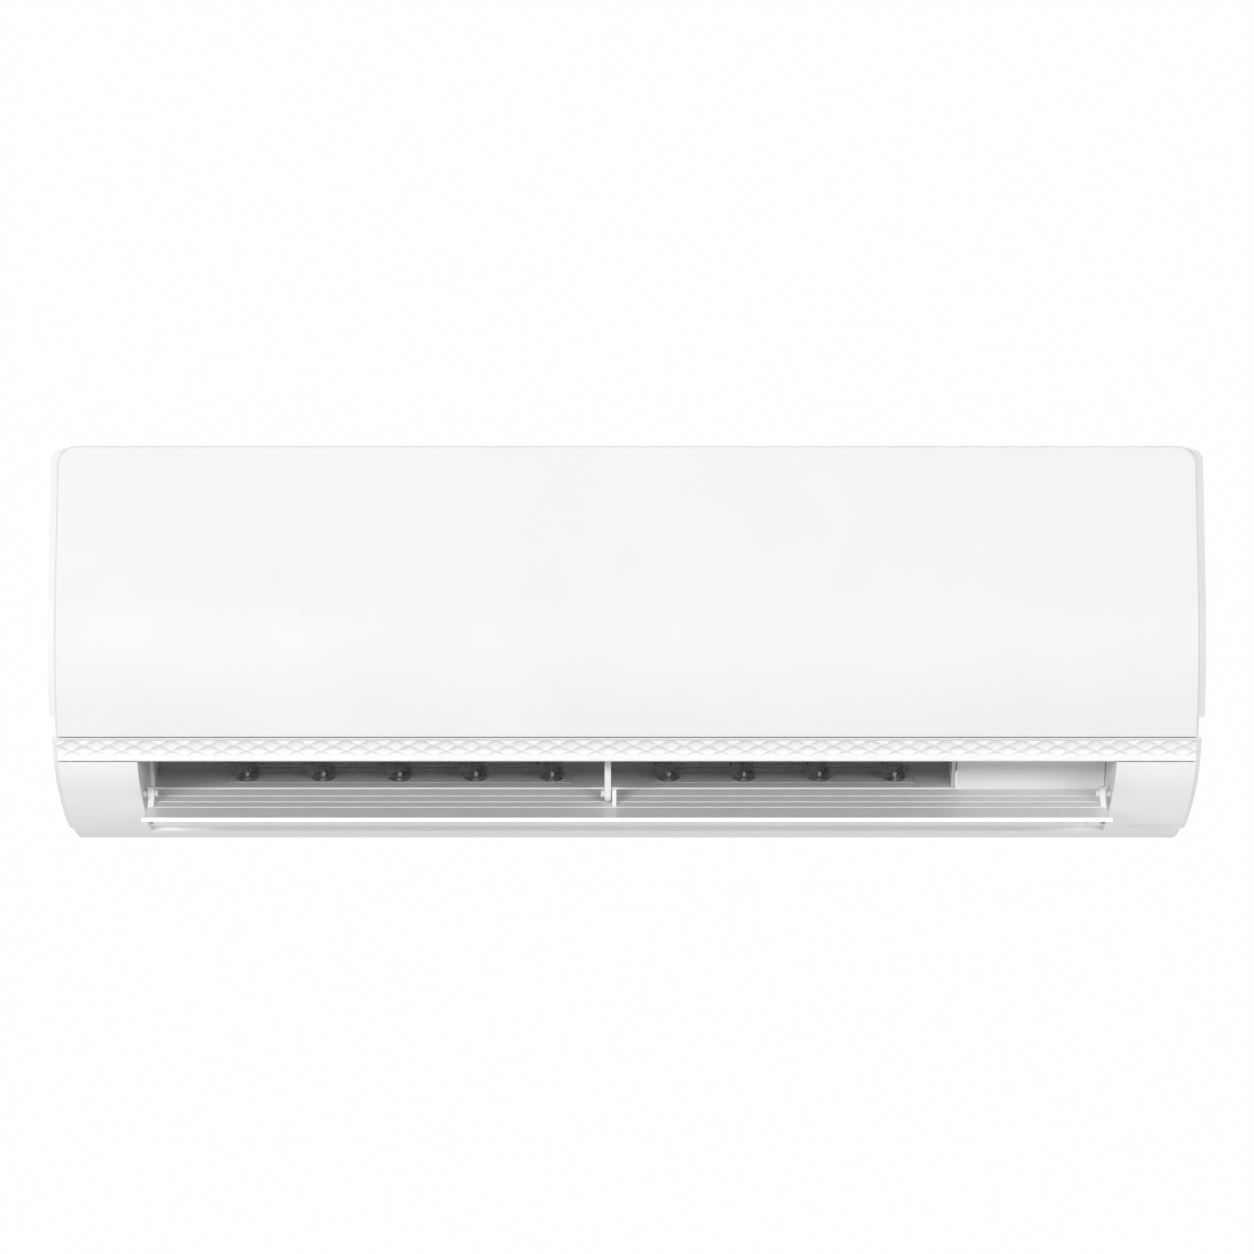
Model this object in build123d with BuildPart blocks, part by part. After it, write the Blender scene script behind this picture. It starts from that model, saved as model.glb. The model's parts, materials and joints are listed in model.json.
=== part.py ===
from build123d import *
import os
from math import asin, atan2, cos, degrees, hypot, radians, sin, sqrt, tan

# Indoor unit of a mini split air conditioner, millimetres.
# X runs to the right seen from the front, the front looks along -Y, the wall is the plane y = 0
# and z = 0 is the mid-height of the casing. The wall plate's back centre is the origin.

# ---------------------------------------------------------------- driving sizes
face_half_width = 415.0       # front panel, trim strip and chin
cheek_out = 10.0              # the side cheeks stand this far out of the face's ends
depth = 205.0                 # wall to the foremost line of the panel
top = 146.0
bottom = -146.0
wall = 2.5                    # casing wall
seat_gap = 0.4                # between pieces that lie on or in each other
pin_clearance = 0.08          # radial, hinge pins and bushes

crest = 5.0                   # height of the foremost line of the front
crest_radius = 150.0
upper_lean = 11.5             # the upper part leans back, degrees from upright
lower_lean = 20.0             # the lower part leans the other way
panel_foot = -66.0            # lower edge of the panel
panel_skin = 3.0
panel_depth = 14.0            # panel skin and skirt together
panel_corner = 14.0
panel_edge = 2.2
panel_gap = 1.2               # panel to the casing behind it
panel_hinge_in = 47.0         # hinge line behind the foremost line
panel_hinge_down = 3.5        # hinge line below the top
panel_pin = 2.0               # radius

strip_height = 17.9           # trim strip under the panel, measured upright
strip_lean = 35.0
strip_thickness = 5.0
strip_gap = 0.4               # panel to strip

chin_end_in = 55.0            # end of the tight part of the chin, behind the foremost line
chin_end = -104.0
belly_radius = 366.0
back_gap = 2.0                # casing to the wall
cheek_setback = 53.0          # cheeks stand this far behind the face
lower_cheek_step = 1.5        # the cheeks are narrower below the grips
grip_top = -52.0
grip_bottom = -67.5
grip_inset = 4.0              # finger grip at both ends of the panel's lower edge
grip_depth = 32.0
casing_corner = 9.0

outlet_end_in = 57.7          # ends of the outlet, in from the face's ends
rebate_start_in = 113.5       # lower edge of the closed louver, behind the foremost line
rebate_end_in = 152.0
rebate_depth = 3.2

louver_pivot_in = 88.0        # louver pivot line behind the foremost line
louver_pivot = -109.0
louver_end_gap = 3.0          # louver to the ends of the outlet
louver_skin = 2.4
louver_lip = 2.8              # thickness of the front edge
louver_groove = 1.1           # depth of the groove behind the front edge
louver_reach = 60.8           # pivot line to the front edge
louver_tail = 30.9            # pivot line to the rear edge
louver_open = 39.5            # degrees from closed, as it stands at rest
louver_pin = 2.6
arm_thickness = 4.2
arm_end_gap = 3.4
strut_x = -14.2
strut_thickness = 4.6
strut_half_length = 5.6
bracket_x = -9.4
bracket_thickness = 3.0

duct_end_in = 3.4             # duct's left inner face, in from the outlet's end
closed_end = 114.3            # closed right part of the outlet, beside the duct
duct_wall = 3.0
floor_slope = 19.0
floor_thickness = 3.0
vane_pivot_in = 159.0         # vane pivots behind the foremost line
vane_pivot = -99.5
floor_nose_in = 141.0         # front edge of the duct floor
scroll_radius = 24.0
back_wall = -15.0             # front side of the chassis back
back_wall_thickness = 3.0
scroll_top = 44.0

vane_angle = 26.6             # rear edges swung to the right, as they stand at rest
vane_front = 22.0
vane_rear = 15.0
vane_height = 36.0
vane_thickness = 1.8
vane_disk = 8.6
vane_disk_height = 2.0
vane_pin = 1.9
vane_link_reach = 13.0
left_vanes = 5
right_vanes = 4
left_wall_to_vane = 68.0      # duct wall to the nearest vane pivot
right_wall_to_vane = 41.9
strut_to_left_vane = 42.4     # strut to the nearest vane pivot
strut_to_right_vane = 45.3
holder_thickness = 1.6
holder_proud = 0.2            # holder over the duct floor that it is let into
holder_end = 14.4             # holder past its first and last pivot
holder_front = 10.0           # in front of the pivots
holder_rear = 11.0

fan_centre_share = 0.6        # fan's centre behind the foremost line, as a share of the depth
fan_centre = -8.0
fan_radius = 47.0
fan_left_gap = 8.0            # fan to the duct's end walls
fan_right_gap = 9.0
fan_blades = 32
fan_disks = 6
fan_shaft = 4.0

coil_thickness = 24.0
coil_left_gap = 10.0          # coil to the duct's left wall
coil_right_gap = 26.0         # coil to the electrical box

box_width = 86.0              # electrical box at the right end
box_end_in = 7.0              # in from the face's end

plate_thickness = 1.5         # steel wall plate
plate_half_width = 330.0
plate_top = 118.0
plate_bottom = -92.0
plate_hole_radius = 2.6
plate_hole_spacing = 560.0
plate_hole_rise = 150.0
plate_middle = 12.0           # height of the middle of its windows and screw holes
plate_window_pitch = 155.0
plate_window_width = 120.0
plate_window_height = 110.0
plate_slot_down = 22.0        # spare screw slots under the upper edge
plate_slot_pitch = 110.0
plate_slot_length = 18.0

spigot_radius = 8.0
spigot_bore = 6.2
spigot_length = 26.0
suction_radius = 6.35
liquid_radius = 3.2

front_y = -depth
half_width = face_half_width + cheek_out
outlet_half_width = face_half_width - outlet_end_in
louver_half_width = outlet_half_width - louver_end_gap
arm_out = outlet_half_width - arm_end_gap
duct_left = -outlet_half_width + duct_end_in
duct_right = outlet_half_width - closed_end
fan_left = duct_left + fan_left_gap
fan_right = duct_right - fan_right_gap
box_right = face_half_width - box_end_in
box_left = box_right - box_width
coil_left = duct_left + coil_left_gap
coil_right = box_left - coil_right_gap


# ---------------------------------------------------------------- geometry helpers
def behind(inset):
    """Y of a place that lies this far behind the foremost line."""
    return front_y + inset


def panel_curve(inset, low, high):
    """Side view of the panel's face, set in by inset: foot, two tangent points, crest, head."""
    r = crest_radius - inset
    centre = front_y + crest_radius
    down = (centre - r * cos(radians(lower_lean)), crest - r * sin(radians(lower_lean)))
    up = (centre - r * cos(radians(upper_lean)), crest + r * sin(radians(upper_lean)))
    foot = (down[0] + (down[1] - low) * tan(radians(lower_lean)), low)
    head = (up[0] + (high - up[1]) * tan(radians(upper_lean)), high)
    return foot, down, (centre - r, crest), up, head


def face_y(inset, height):
    """Y of the panel's face at a height on its upper slope, crest or lower slope."""
    foot, down, middle, up, head = panel_curve(inset, min(height, panel_foot), max(height, 0.0))
    if height >= up[1]:
        return up[0] + (height - up[1]) * tan(radians(upper_lean))
    if height <= down[1]:
        return down[0] + (down[1] - height) * tan(radians(lower_lean))
    r = crest_radius - inset
    return front_y + crest_radius - sqrt(r ** 2 - (height - crest) ** 2)


strip_top = panel_foot - strip_gap
strip_foot = strip_top - strip_height
strip_top_y = face_y(0, panel_foot) + strip_gap * tan(radians(strip_lean))


def strip_y(inset, height):
    """Y of the trim strip's slope, set in by inset, at a height."""
    return strip_top_y + (strip_top - height) * tan(radians(strip_lean)) + inset / cos(radians(strip_lean))


# the long belly curve from the chin to the wall and the tighter chin curve that runs into it
chin_point = (behind(chin_end_in), chin_end)
heel_point = (-back_gap, bottom)
chin_top = (strip_y(0, strip_foot), strip_foot)
belly_chord = hypot(heel_point[0] - chin_point[0], heel_point[1] - chin_point[1])
belly_angle = atan2(heel_point[1] - chin_point[1], heel_point[0] - chin_point[0])
belly_half_turn = asin(belly_chord / 2 / belly_radius)
chin_angle = belly_angle - belly_half_turn
normal = (-sin(chin_angle), cos(chin_angle))
belly_centre = (chin_point[0] + belly_radius * normal[0], chin_point[1] + belly_radius * normal[1])


def belly_point(inset, y):
    """Point of the belly curve, set in by inset, at a depth place y."""
    r = belly_radius - inset
    return (y, belly_centre[1] - sqrt(r ** 2 - (y - belly_centre[0]) ** 2))


# chin arc: tangent to the belly at the chin point, through the foot of the trim strip
chin_step = (chin_top[0] - chin_point[0], chin_top[1] - chin_point[1])
chin_rise = chin_step[0] * normal[0] + chin_step[1] * normal[1]
chin_radius = (chin_step[0] ** 2 + chin_step[1] ** 2) / 2 / chin_rise
chin_centre = (chin_point[0] + chin_radius * normal[0], chin_point[1] + chin_radius * normal[1])


def chin_at(inset, angle):
    """Point of the chin curve, set in by inset, seen from its centre at an angle in degrees."""
    r = chin_radius - inset
    return (chin_centre[0] + r * cos(radians(angle)), chin_centre[1] + r * sin(radians(angle)))


chin_start_angle = degrees(atan2(chin_top[1] - chin_centre[1], chin_top[0] - chin_centre[0])) % 360
chin_end_angle = degrees(atan2(chin_point[1] - chin_centre[1], chin_point[0] - chin_centre[0])) % 360


def side_face(points, x):
    """Closed polygon in the side view, standing at x."""
    with BuildSketch(Plane.YZ.offset(x)) as face:
        with BuildLine():
            Polyline(*points, close=True)
        make_face()
    return face.sketch


def side_disk(y, z, radius, x):
    """Disk in the side view, standing at x."""
    with BuildSketch(Plane.YZ.offset(x)) as face:
        with Locations((y, z)):
            Circle(radius)
    return face.sketch


def panel_band(outer, inner, low, high, x):
    """Strip of the side view between two insets of the panel's face."""
    a_foot, a_down, a_crest, a_up, a_head = panel_curve(outer, low, high)
    b_foot, b_down, b_crest, b_up, b_head = panel_curve(inner, low, high)
    with BuildSketch(Plane.YZ.offset(x)) as face:
        with BuildLine():
            Line(a_foot, a_down)
            ThreePointArc(a_down, a_crest, a_up)
            Line(a_up, a_head)
            Line(a_head, b_head)
            Line(b_head, b_up)
            ThreePointArc(b_up, b_crest, b_down)
            Line(b_down, b_foot)
            Line(b_foot, a_foot)
        make_face()
    return face.sketch


def casing_face(inset, x):
    """Side view of the casing without panel and strip, set in by inset, open towards the wall."""
    behind_panel = panel_depth + panel_gap + inset
    foot, down, middle, up, head = panel_curve(behind_panel, strip_top - inset, top - inset)
    seat = strip_thickness + seat_gap + inset
    rear = -back_gap
    chin_mid = chin_at(inset, (chin_start_angle + chin_end_angle) / 2)
    chin_low = chin_at(inset, chin_end_angle)
    belly_mid = belly_point(inset, (chin_point[0] + rear) / 2)
    seat_foot = strip_foot + inset
    seat_top = (strip_y(seat, strip_top - inset), strip_top - inset)
    with BuildSketch(Plane.YZ.offset(x)) as face:
        with BuildLine():
            ThreePointArc(chin_at(inset, chin_start_angle), chin_mid, chin_low)
            ThreePointArc(chin_low, belly_mid, belly_point(inset, rear))
            Line(belly_point(inset, rear), (rear, top - inset))
            Line((rear, top - inset), head)
            Line(head, up)
            ThreePointArc(up, middle, down)
            seat_low = (strip_y(seat, seat_foot), seat_foot)
            Polyline(down, foot, seat_top, seat_low, chin_at(inset, chin_start_angle))
        make_face()
    return face.sketch


def shifted_outline(shift, inset, x):
    """Side view of the cheeks: the face's own outline moved back by shift."""
    foot, down, middle, up, head = panel_curve(inset, panel_foot, top - inset)
    points = [(p[0] + shift, p[1]) for p in (foot, down, middle, up, head)]
    chin_a = chin_at(inset, chin_start_angle)
    chin_b = chin_at(inset, (chin_start_angle + chin_end_angle) / 2)
    chin_c = chin_at(inset, chin_end_angle)
    rear = -back_gap
    belly_b = belly_point(inset, (chin_point[0] + rear - shift) / 2)
    belly_c = belly_point(inset, rear - shift)
    with BuildSketch(Plane.YZ.offset(x)) as face:
        with BuildLine():
            Line(points[4], points[3])
            ThreePointArc(points[3], points[2], points[1])
            Polyline(points[1], points[0], (chin_a[0] + shift, chin_a[1]))
            ThreePointArc(*[(p[0] + shift, p[1]) for p in (chin_a, chin_b, chin_c)])
            ThreePointArc(*[(p[0] + shift, p[1]) for p in (chin_c, belly_b, belly_c)])
            Polyline((rear, belly_c[1]), (rear, top - inset), points[4])
        make_face()
    return face.sketch


def front_plate(width, height, x, z, y, corner):
    """Rounded rectangle in the front view, standing at y and looking along +Y."""
    with BuildSketch(Plane.XZ.offset(-y)) as face:
        with Locations((x, z)):
            RectangleRounded(width, height, corner)
    return face.sketch


def save(piece, name):
    """Label a finished piece and write it."""
    piece.part.label = name
    export_step(piece.part, f"parts/{name}.step")


os.makedirs("parts", exist_ok=True)

# ---------------------------------------------------------------- casing
grip_height = grip_top - grip_bottom
hinge_line = (behind(panel_hinge_in), top - panel_hinge_down)
lug_x = face_half_width - panel_skin - 10.0
lug_thickness = 4.0
lug_radius = 3.5
lug_room = 1.5                # free space round the panel's hinge lugs
panel_pin_length = 6.0
socket_thickness = 4.0
socket_half_length = 4.5
socket_drop = 6.5             # foot of the hinge sockets under the hinge line
outlet_width = 2 * outlet_half_width
cheek_low_side = half_width - lower_cheek_step
filter_split = 4.0            # half the width of the bar between the two filter windows
window_end_in = 23.0          # filter windows, in from the face's left end
window_left = -face_half_width + window_end_in
window_right = coil_right
window_cut_in = 30.6          # the windows are cut this deep from the foremost line
window_foot = -40.0
window_head = 122.0
window_middle = (window_left + window_right) / 2
slot_columns = 12
slot_rows = 11
slot_width = 6.0
slot_bar = 7.3                # between two slots in a row
slot_pitch_x = (window_right - window_left) / slot_columns
slot_length = slot_pitch_x - slot_bar
slot_pitch_y = 10.6
slot_front = behind(55.0)
slot_middle_y = slot_front + slot_width / 2 + slot_pitch_y * (slot_rows - 1) / 2
return_front_in = 34.0
return_head = -60.0
return_spigot_foot = -63.0    # upper edge under the drain spigot
return_spigot_rear = behind(68.5)
return_top = -50.0            # upper edge behind the spigot
return_rear_head = -97.0
lip_front_in = 121.0          # lower lip of the outlet, inside the rebate
lip_head = -112.0
louver_pivot_point = (behind(louver_pivot_in), louver_pivot)

window_x = face_half_width - 24.4
window_in = 135.0             # receiver window behind the foremost line
window_length = 30.0
window_width = 14.0
window_gap = 0.25
window_place = belly_point(0, behind(window_in))
window_normal = Vector(0, belly_centre[0] - window_place[0], belly_centre[1] - window_place[1]).normalized()
window_plane = Plane(origin=(window_x, *window_place), x_dir=(1, 0, 0), z_dir=window_normal)
button_x = box_left + 23.0
button_radius = 4.0
button_proud = 2.0
button_travel = 1.5

rebate_front = belly_point(rebate_depth, behind(lip_front_in))
rebate_front_back = belly_point(rebate_depth + wall, behind(lip_front_in) + wall)
rebate_rear = belly_point(rebate_depth, behind(rebate_end_in))
rebate_rear_back = belly_point(rebate_depth + wall, behind(rebate_end_in) + wall)
lip_top = (behind(floor_nose_in) - 2.0, lip_head)
lip_slot_width = 2.4          # slot beside the return at both ends of the lower lip
lip_slot_end = behind(142.5)
clip_in = 133.0               # clips beside the slot, their middle behind the foremost line
clip_length = 20.0
clip_pads = ((3.1, 13.1, 1.0), (14.8, 31.3, 1.4))   # in from the outlet's end: start, end, height
clip_place = belly_point(rebate_depth, behind(clip_in))
clip_normal = Vector(0, clip_place[0] - belly_centre[0], clip_place[1] - belly_centre[1]).normalized()

with BuildPart() as front_frame:
    extrude(casing_face(0, -face_half_width), amount=2 * face_half_width)
    extrude(shifted_outline(cheek_setback, 0, -half_width), amount=2 * half_width)
    corner_edges = front_frame.edges().filter_by(Axis.Y).group_by(Axis.Z)[-1]
    fillet([e for e in corner_edges if abs(e.center().X) > half_width - 1], casing_corner)
    face_start = -face_half_width + wall
    extrude(casing_face(wall, face_start), amount=-2 * face_start, mode=Mode.SUBTRACT)
    cheek_start = -half_width + wall
    extrude(shifted_outline(cheek_setback, wall, cheek_start), amount=-2 * cheek_start, mode=Mode.SUBTRACT)
    # cheeks: narrower below the grips, and a finger grip at both ends of the panel's lower edge
    for side in (-1, 1):
        with Locations((side * half_width, -depth / 2, bottom + (grip_top - bottom) / 2)):
            Box(2 * lower_cheek_step, 2 * depth, grip_top - bottom, mode=Mode.SUBTRACT)
        cheek_front = face_y(0, grip_bottom) + cheek_setback
        with Locations((side * half_width, cheek_front, grip_bottom + grip_height / 2)):
            Box(2 * grip_inset, 2 * grip_depth, grip_height, mode=Mode.SUBTRACT)
        pocket_x = side * (half_width - grip_inset - wall / 2)
        with Locations((pocket_x, cheek_front + grip_depth / 2, grip_bottom + grip_height / 2)):
            Box(wall, grip_depth + 2 * wall, grip_height + 2 * wall)
    # air outlet with its side returns, and the recessed lower lip under the louver
    outlet_cut = [
        (front_y - 1, strip_foot),
        (behind(return_front_in) + strip_thickness, strip_foot),
        (behind(return_front_in) + strip_thickness, strip_foot + strip_height / 2),
        (behind(rebate_end_in), strip_foot + strip_height / 2),
        (behind(rebate_end_in), bottom - 1),
        (front_y - 1, bottom - 1),
    ]
    extrude(side_face(outlet_cut, -outlet_half_width), amount=outlet_width, mode=Mode.SUBTRACT)
    rebate = [
        (rebate_rear[0], belly_point(0, behind(rebate_end_in))[1]),
        rebate_rear,
        belly_point(rebate_depth, (rebate_rear[0] + rebate_front[0]) / 2),
        rebate_front,
        lip_top,
        (lip_top[0] + wall, lip_top[1]),
        rebate_front_back,
        belly_point(rebate_depth + wall, (rebate_rear[0] + rebate_front[0]) / 2),
        rebate_rear_back,
        (rebate_rear_back[0], belly_point(0, rebate_rear_back[0])[1]),
    ]
    extrude(side_face(rebate, -outlet_half_width), amount=outlet_width)
    # ends of the lower lip: a slot beside the return and two flat clips
    for side in (-1, 1):
        lip_end = (side * (outlet_half_width - lip_slot_width / 2), (lip_top[0] + lip_slot_end) / 2 - 10, bottom)
        with Locations(lip_end):
            Box(lip_slot_width, lip_slot_end - lip_top[0] + 20, 2 * (lip_head - bottom) + 4, mode=Mode.SUBTRACT)
        for start, end, height in clip_pads:
            origin = (side * (outlet_half_width - (start + end) / 2), *clip_place)
            clip_plane = Plane(origin=origin, x_dir=(1, 0, 0), z_dir=clip_normal)
            with BuildSketch(clip_plane.offset(-wall / 2)):
                RectangleRounded(end - start, clip_length, 2.0)
            extrude(amount=wall / 2 + height)
    return_plate = [
        (behind(return_front_in), return_head),
        (behind(return_front_in) + 6.0, return_spigot_foot),
        (return_spigot_rear, return_spigot_foot),
        (return_spigot_rear + 3.5, return_top),
        (return_spigot_rear + 28.5, return_top),
        (behind(rebate_end_in), return_rear_head),
        (behind(rebate_end_in) + wall, return_rear_head),
        (behind(rebate_end_in) + wall, bottom),
        (front_y, bottom),
        (front_y, return_head),
    ]
    for x in (-outlet_half_width - wall, outlet_half_width):
        extrude(casing_face(0, x) & side_face(return_plate, x), amount=wall)
    pin_seat = side_disk(*louver_pivot_point, louver_pin + pin_clearance, -outlet_half_width - 2 * wall)
    extrude(pin_seat, amount=3 * wall, mode=Mode.SUBTRACT)
    shaft_way = side_disk(*louver_pivot_point, louver_pin + seat_gap, outlet_half_width - wall)
    extrude(shaft_way, amount=3 * wall, mode=Mode.SUBTRACT)
    # receiver window in the chin's right end and the hole of the emergency button
    with BuildSketch(window_plane.offset(-1)):
        SlotOverall(window_length + 2 * window_gap, window_width + 2 * window_gap)
    extrude(amount=2 * wall + 1, mode=Mode.SUBTRACT)
    with BuildSketch(Plane.XZ.offset(depth - panel_depth)):
        with Locations((button_x, crest)):
            Circle(button_radius + pin_clearance)
    extrude(amount=-4 * wall, mode=Mode.SUBTRACT)
    # filter windows behind the panel and the inlet grille in the top
    window_rear = behind(window_cut_in)
    for x0, x1 in ((window_left, window_middle - filter_split), (window_middle + filter_split, window_right)):
        window = [
            (front_y, window_foot), (window_rear, window_foot),
            (window_rear, window_head), (front_y, window_head),
        ]
        extrude(side_face(window, x0), amount=x1 - x0, mode=Mode.SUBTRACT)
    with BuildSketch(Plane.XY.offset(top - 2 * wall)):
        with Locations((window_middle, slot_middle_y)):
            with GridLocations(slot_pitch_x, slot_pitch_y, slot_columns, slot_rows):
                RectangleRounded(slot_length, slot_width, slot_width / 3)
    extrude(amount=3 * wall, mode=Mode.SUBTRACT)
    # slots for the panel's hinge lugs, each with a socket for the lug's pin
    for side in (-1, 1):
        slot_y = hinge_line[0] + lug_radius + lug_room
        slot_z = hinge_line[1] - lug_radius - lug_room
        lug_slot = [(front_y, slot_z), (slot_y, slot_z), (slot_y, top + 1), (front_y, top + 1)]
        slot_x = side * lug_x - lug_thickness / 2 - lug_room
        extrude(side_face(lug_slot, slot_x), amount=lug_thickness + 2 * lug_room, mode=Mode.SUBTRACT)
        socket_x = side * (lug_x - lug_thickness / 2 - lug_room - socket_thickness / 2) - socket_thickness / 2
        socket = [
            (hinge_line[0] - socket_half_length, hinge_line[1] - socket_drop),
            (hinge_line[0] + socket_half_length, hinge_line[1] - socket_drop),
            (hinge_line[0] + socket_half_length, top - wall / 2),
            (hinge_line[0] - socket_half_length, top - wall / 2),
        ]
        extrude(side_face(socket, socket_x), amount=socket_thickness)
        bore = side_disk(*hinge_line, panel_pin + pin_clearance, socket_x - lug_room)
        extrude(bore, amount=socket_thickness + 2 * lug_room, mode=Mode.SUBTRACT)
save(front_frame, "front_frame")


# trim strip: slanted band under the panel, clipped into its seat
strip_lip = 1.6
strip_field_drop = 1.2
strip_field_top = strip_top - strip_lip
strip_field_foot = strip_foot + 3.6
strip_round = 1.5
with BuildPart() as trim_strip:
    strip_section = [
        (strip_y(0, strip_top), strip_top),
        (strip_y(0, strip_foot), strip_foot + seat_gap),
        (strip_y(strip_thickness, strip_foot), strip_foot + seat_gap),
        (strip_y(strip_thickness, strip_top), strip_top),
    ]
    extrude(side_face(strip_section, -face_half_width), amount=2 * face_half_width)
    fillet(trim_strip.edges().filter_by(Axis.X).sort_by(Axis.Y)[:1], 0.6)
    lower_front = [e for e in trim_strip.edges().filter_by(Axis.X) if e.center().Z < strip_foot + 1]
    fillet(sorted(lower_front, key=lambda e: e.center().Y)[:1], strip_round)
    field = [
        (strip_y(-1, strip_field_top), strip_field_top),
        (strip_y(strip_field_drop, strip_field_top), strip_field_top - 0.6),
        (strip_y(strip_field_drop, strip_field_foot), strip_field_foot + 0.6),
        (strip_y(-1, strip_field_foot), strip_field_foot),
    ]
    extrude(side_face(field, -face_half_width), amount=2 * face_half_width, mode=Mode.SUBTRACT)
save(trim_strip, "trim_strip")

# front panel: curved skin with a skirt all round, hinged near its upper edge
panel_height = top - panel_foot
with BuildPart() as front_panel:
    extrude(panel_band(0, panel_depth, panel_foot, top, -face_half_width), amount=2 * face_half_width)
    blank_z = (panel_foot - panel_corner + top) / 2
    blank_height = panel_height + panel_corner
    blank = front_plate(2 * face_half_width, blank_height, 0, blank_z, front_y - 5, panel_corner)
    extrude(blank, amount=-depth, mode=Mode.INTERSECT)
    fillet(front_panel.faces().sort_by(Axis.Y)[:3].edges().filter_by(
        lambda e: not (e.geom_type == GeomType.LINE and abs(e.tangent_at(0.5).X) > 0.99
                       and panel_foot + 1 < e.center().Z < top - 1)), panel_edge)
    hollow_start = -face_half_width + panel_skin
    extrude(
        panel_band(panel_skin, panel_depth + 10, panel_foot + panel_skin, top - panel_skin, hollow_start),
        amount=-2 * hollow_start, mode=Mode.SUBTRACT,
    )
    for side in (-1, 1):
        lug_foot = hinge_line[1] - lug_radius
        lug_head = hinge_line[1] + lug_radius / 2
        lug = [
            (face_y(panel_skin - 1, lug_foot), lug_foot),
            (hinge_line[0], lug_foot),
            (hinge_line[0], lug_head),
            (face_y(panel_skin - 1, lug_head), lug_head),
        ]
        x0 = side * lug_x - lug_thickness / 2
        extrude(side_face(lug, x0), amount=lug_thickness)
        extrude(side_disk(hinge_line[0], hinge_line[1], lug_radius, x0), amount=lug_thickness)
        pin_x = side * (lug_x - lug_thickness / 2 - panel_pin_length)
        start = min(side * lug_x, pin_x)
        extrude(side_disk(*hinge_line, panel_pin, start), amount=abs(pin_x - side * lug_x))
save(front_panel, "front_panel")

# ---------------------------------------------------------------- louver
louver_front_gap = 2.8        # closed louver to the trim strip
louver_front_angle = chin_start_angle + degrees(louver_front_gap / chin_radius)
louver_rear_y = behind(rebate_start_in) - 1.5
louver_lip_length = 2.2
louver_groove_length = 2.4
louver_ribs = (19.8, 31.8, 43.8)   # behind the end of the chin
arm_boss = 5.4
arm_base_front = 15.0
arm_base_rear = 13.0
louver_axis = Axis((0, *louver_pivot_point), (1, 0, 0))
pin_inner_end = 2.6           # the end pins stand this far out of the arms


def louver_band(outer, inner, x):
    """Side view of the closed louver between two insets of the chin and belly."""
    middle_angle = (louver_front_angle + chin_end_angle) / 2
    middle_y = (chin_point[0] + louver_rear_y) / 2
    with BuildSketch(Plane.YZ.offset(x)) as face:
        with BuildLine():
            ThreePointArc(*[chin_at(outer, a) for a in (louver_front_angle, middle_angle, chin_end_angle)])
            rear = belly_point(outer, louver_rear_y)
            ThreePointArc(chin_at(outer, chin_end_angle), belly_point(outer, middle_y), rear)
            back = belly_point(inner, louver_rear_y)
            Line(rear, back)
            ThreePointArc(back, belly_point(inner, middle_y), chin_at(inner, chin_end_angle))
            ThreePointArc(*[chin_at(inner, a) for a in (chin_end_angle, middle_angle, louver_front_angle)])
            Line(chin_at(inner, louver_front_angle), chin_at(outer, louver_front_angle))
        make_face()
    return face.sketch


def louver_arm(x, thickness, front, rear):
    """Arm of the closed louver: a boss round the pivot line on a foot on the skin."""
    y, z = louver_pivot_point
    arm = [
        (y - arm_boss, z),
        belly_point(louver_skin / 2, y - front),
        belly_point(louver_skin / 2, y + rear),
        (y + arm_boss, z),
    ]
    plate = extrude(side_face(arm, x), amount=thickness, mode=Mode.PRIVATE)
    boss = extrude(side_disk(y, z, arm_boss, x), amount=thickness, mode=Mode.PRIVATE)
    return plate + boss


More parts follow.
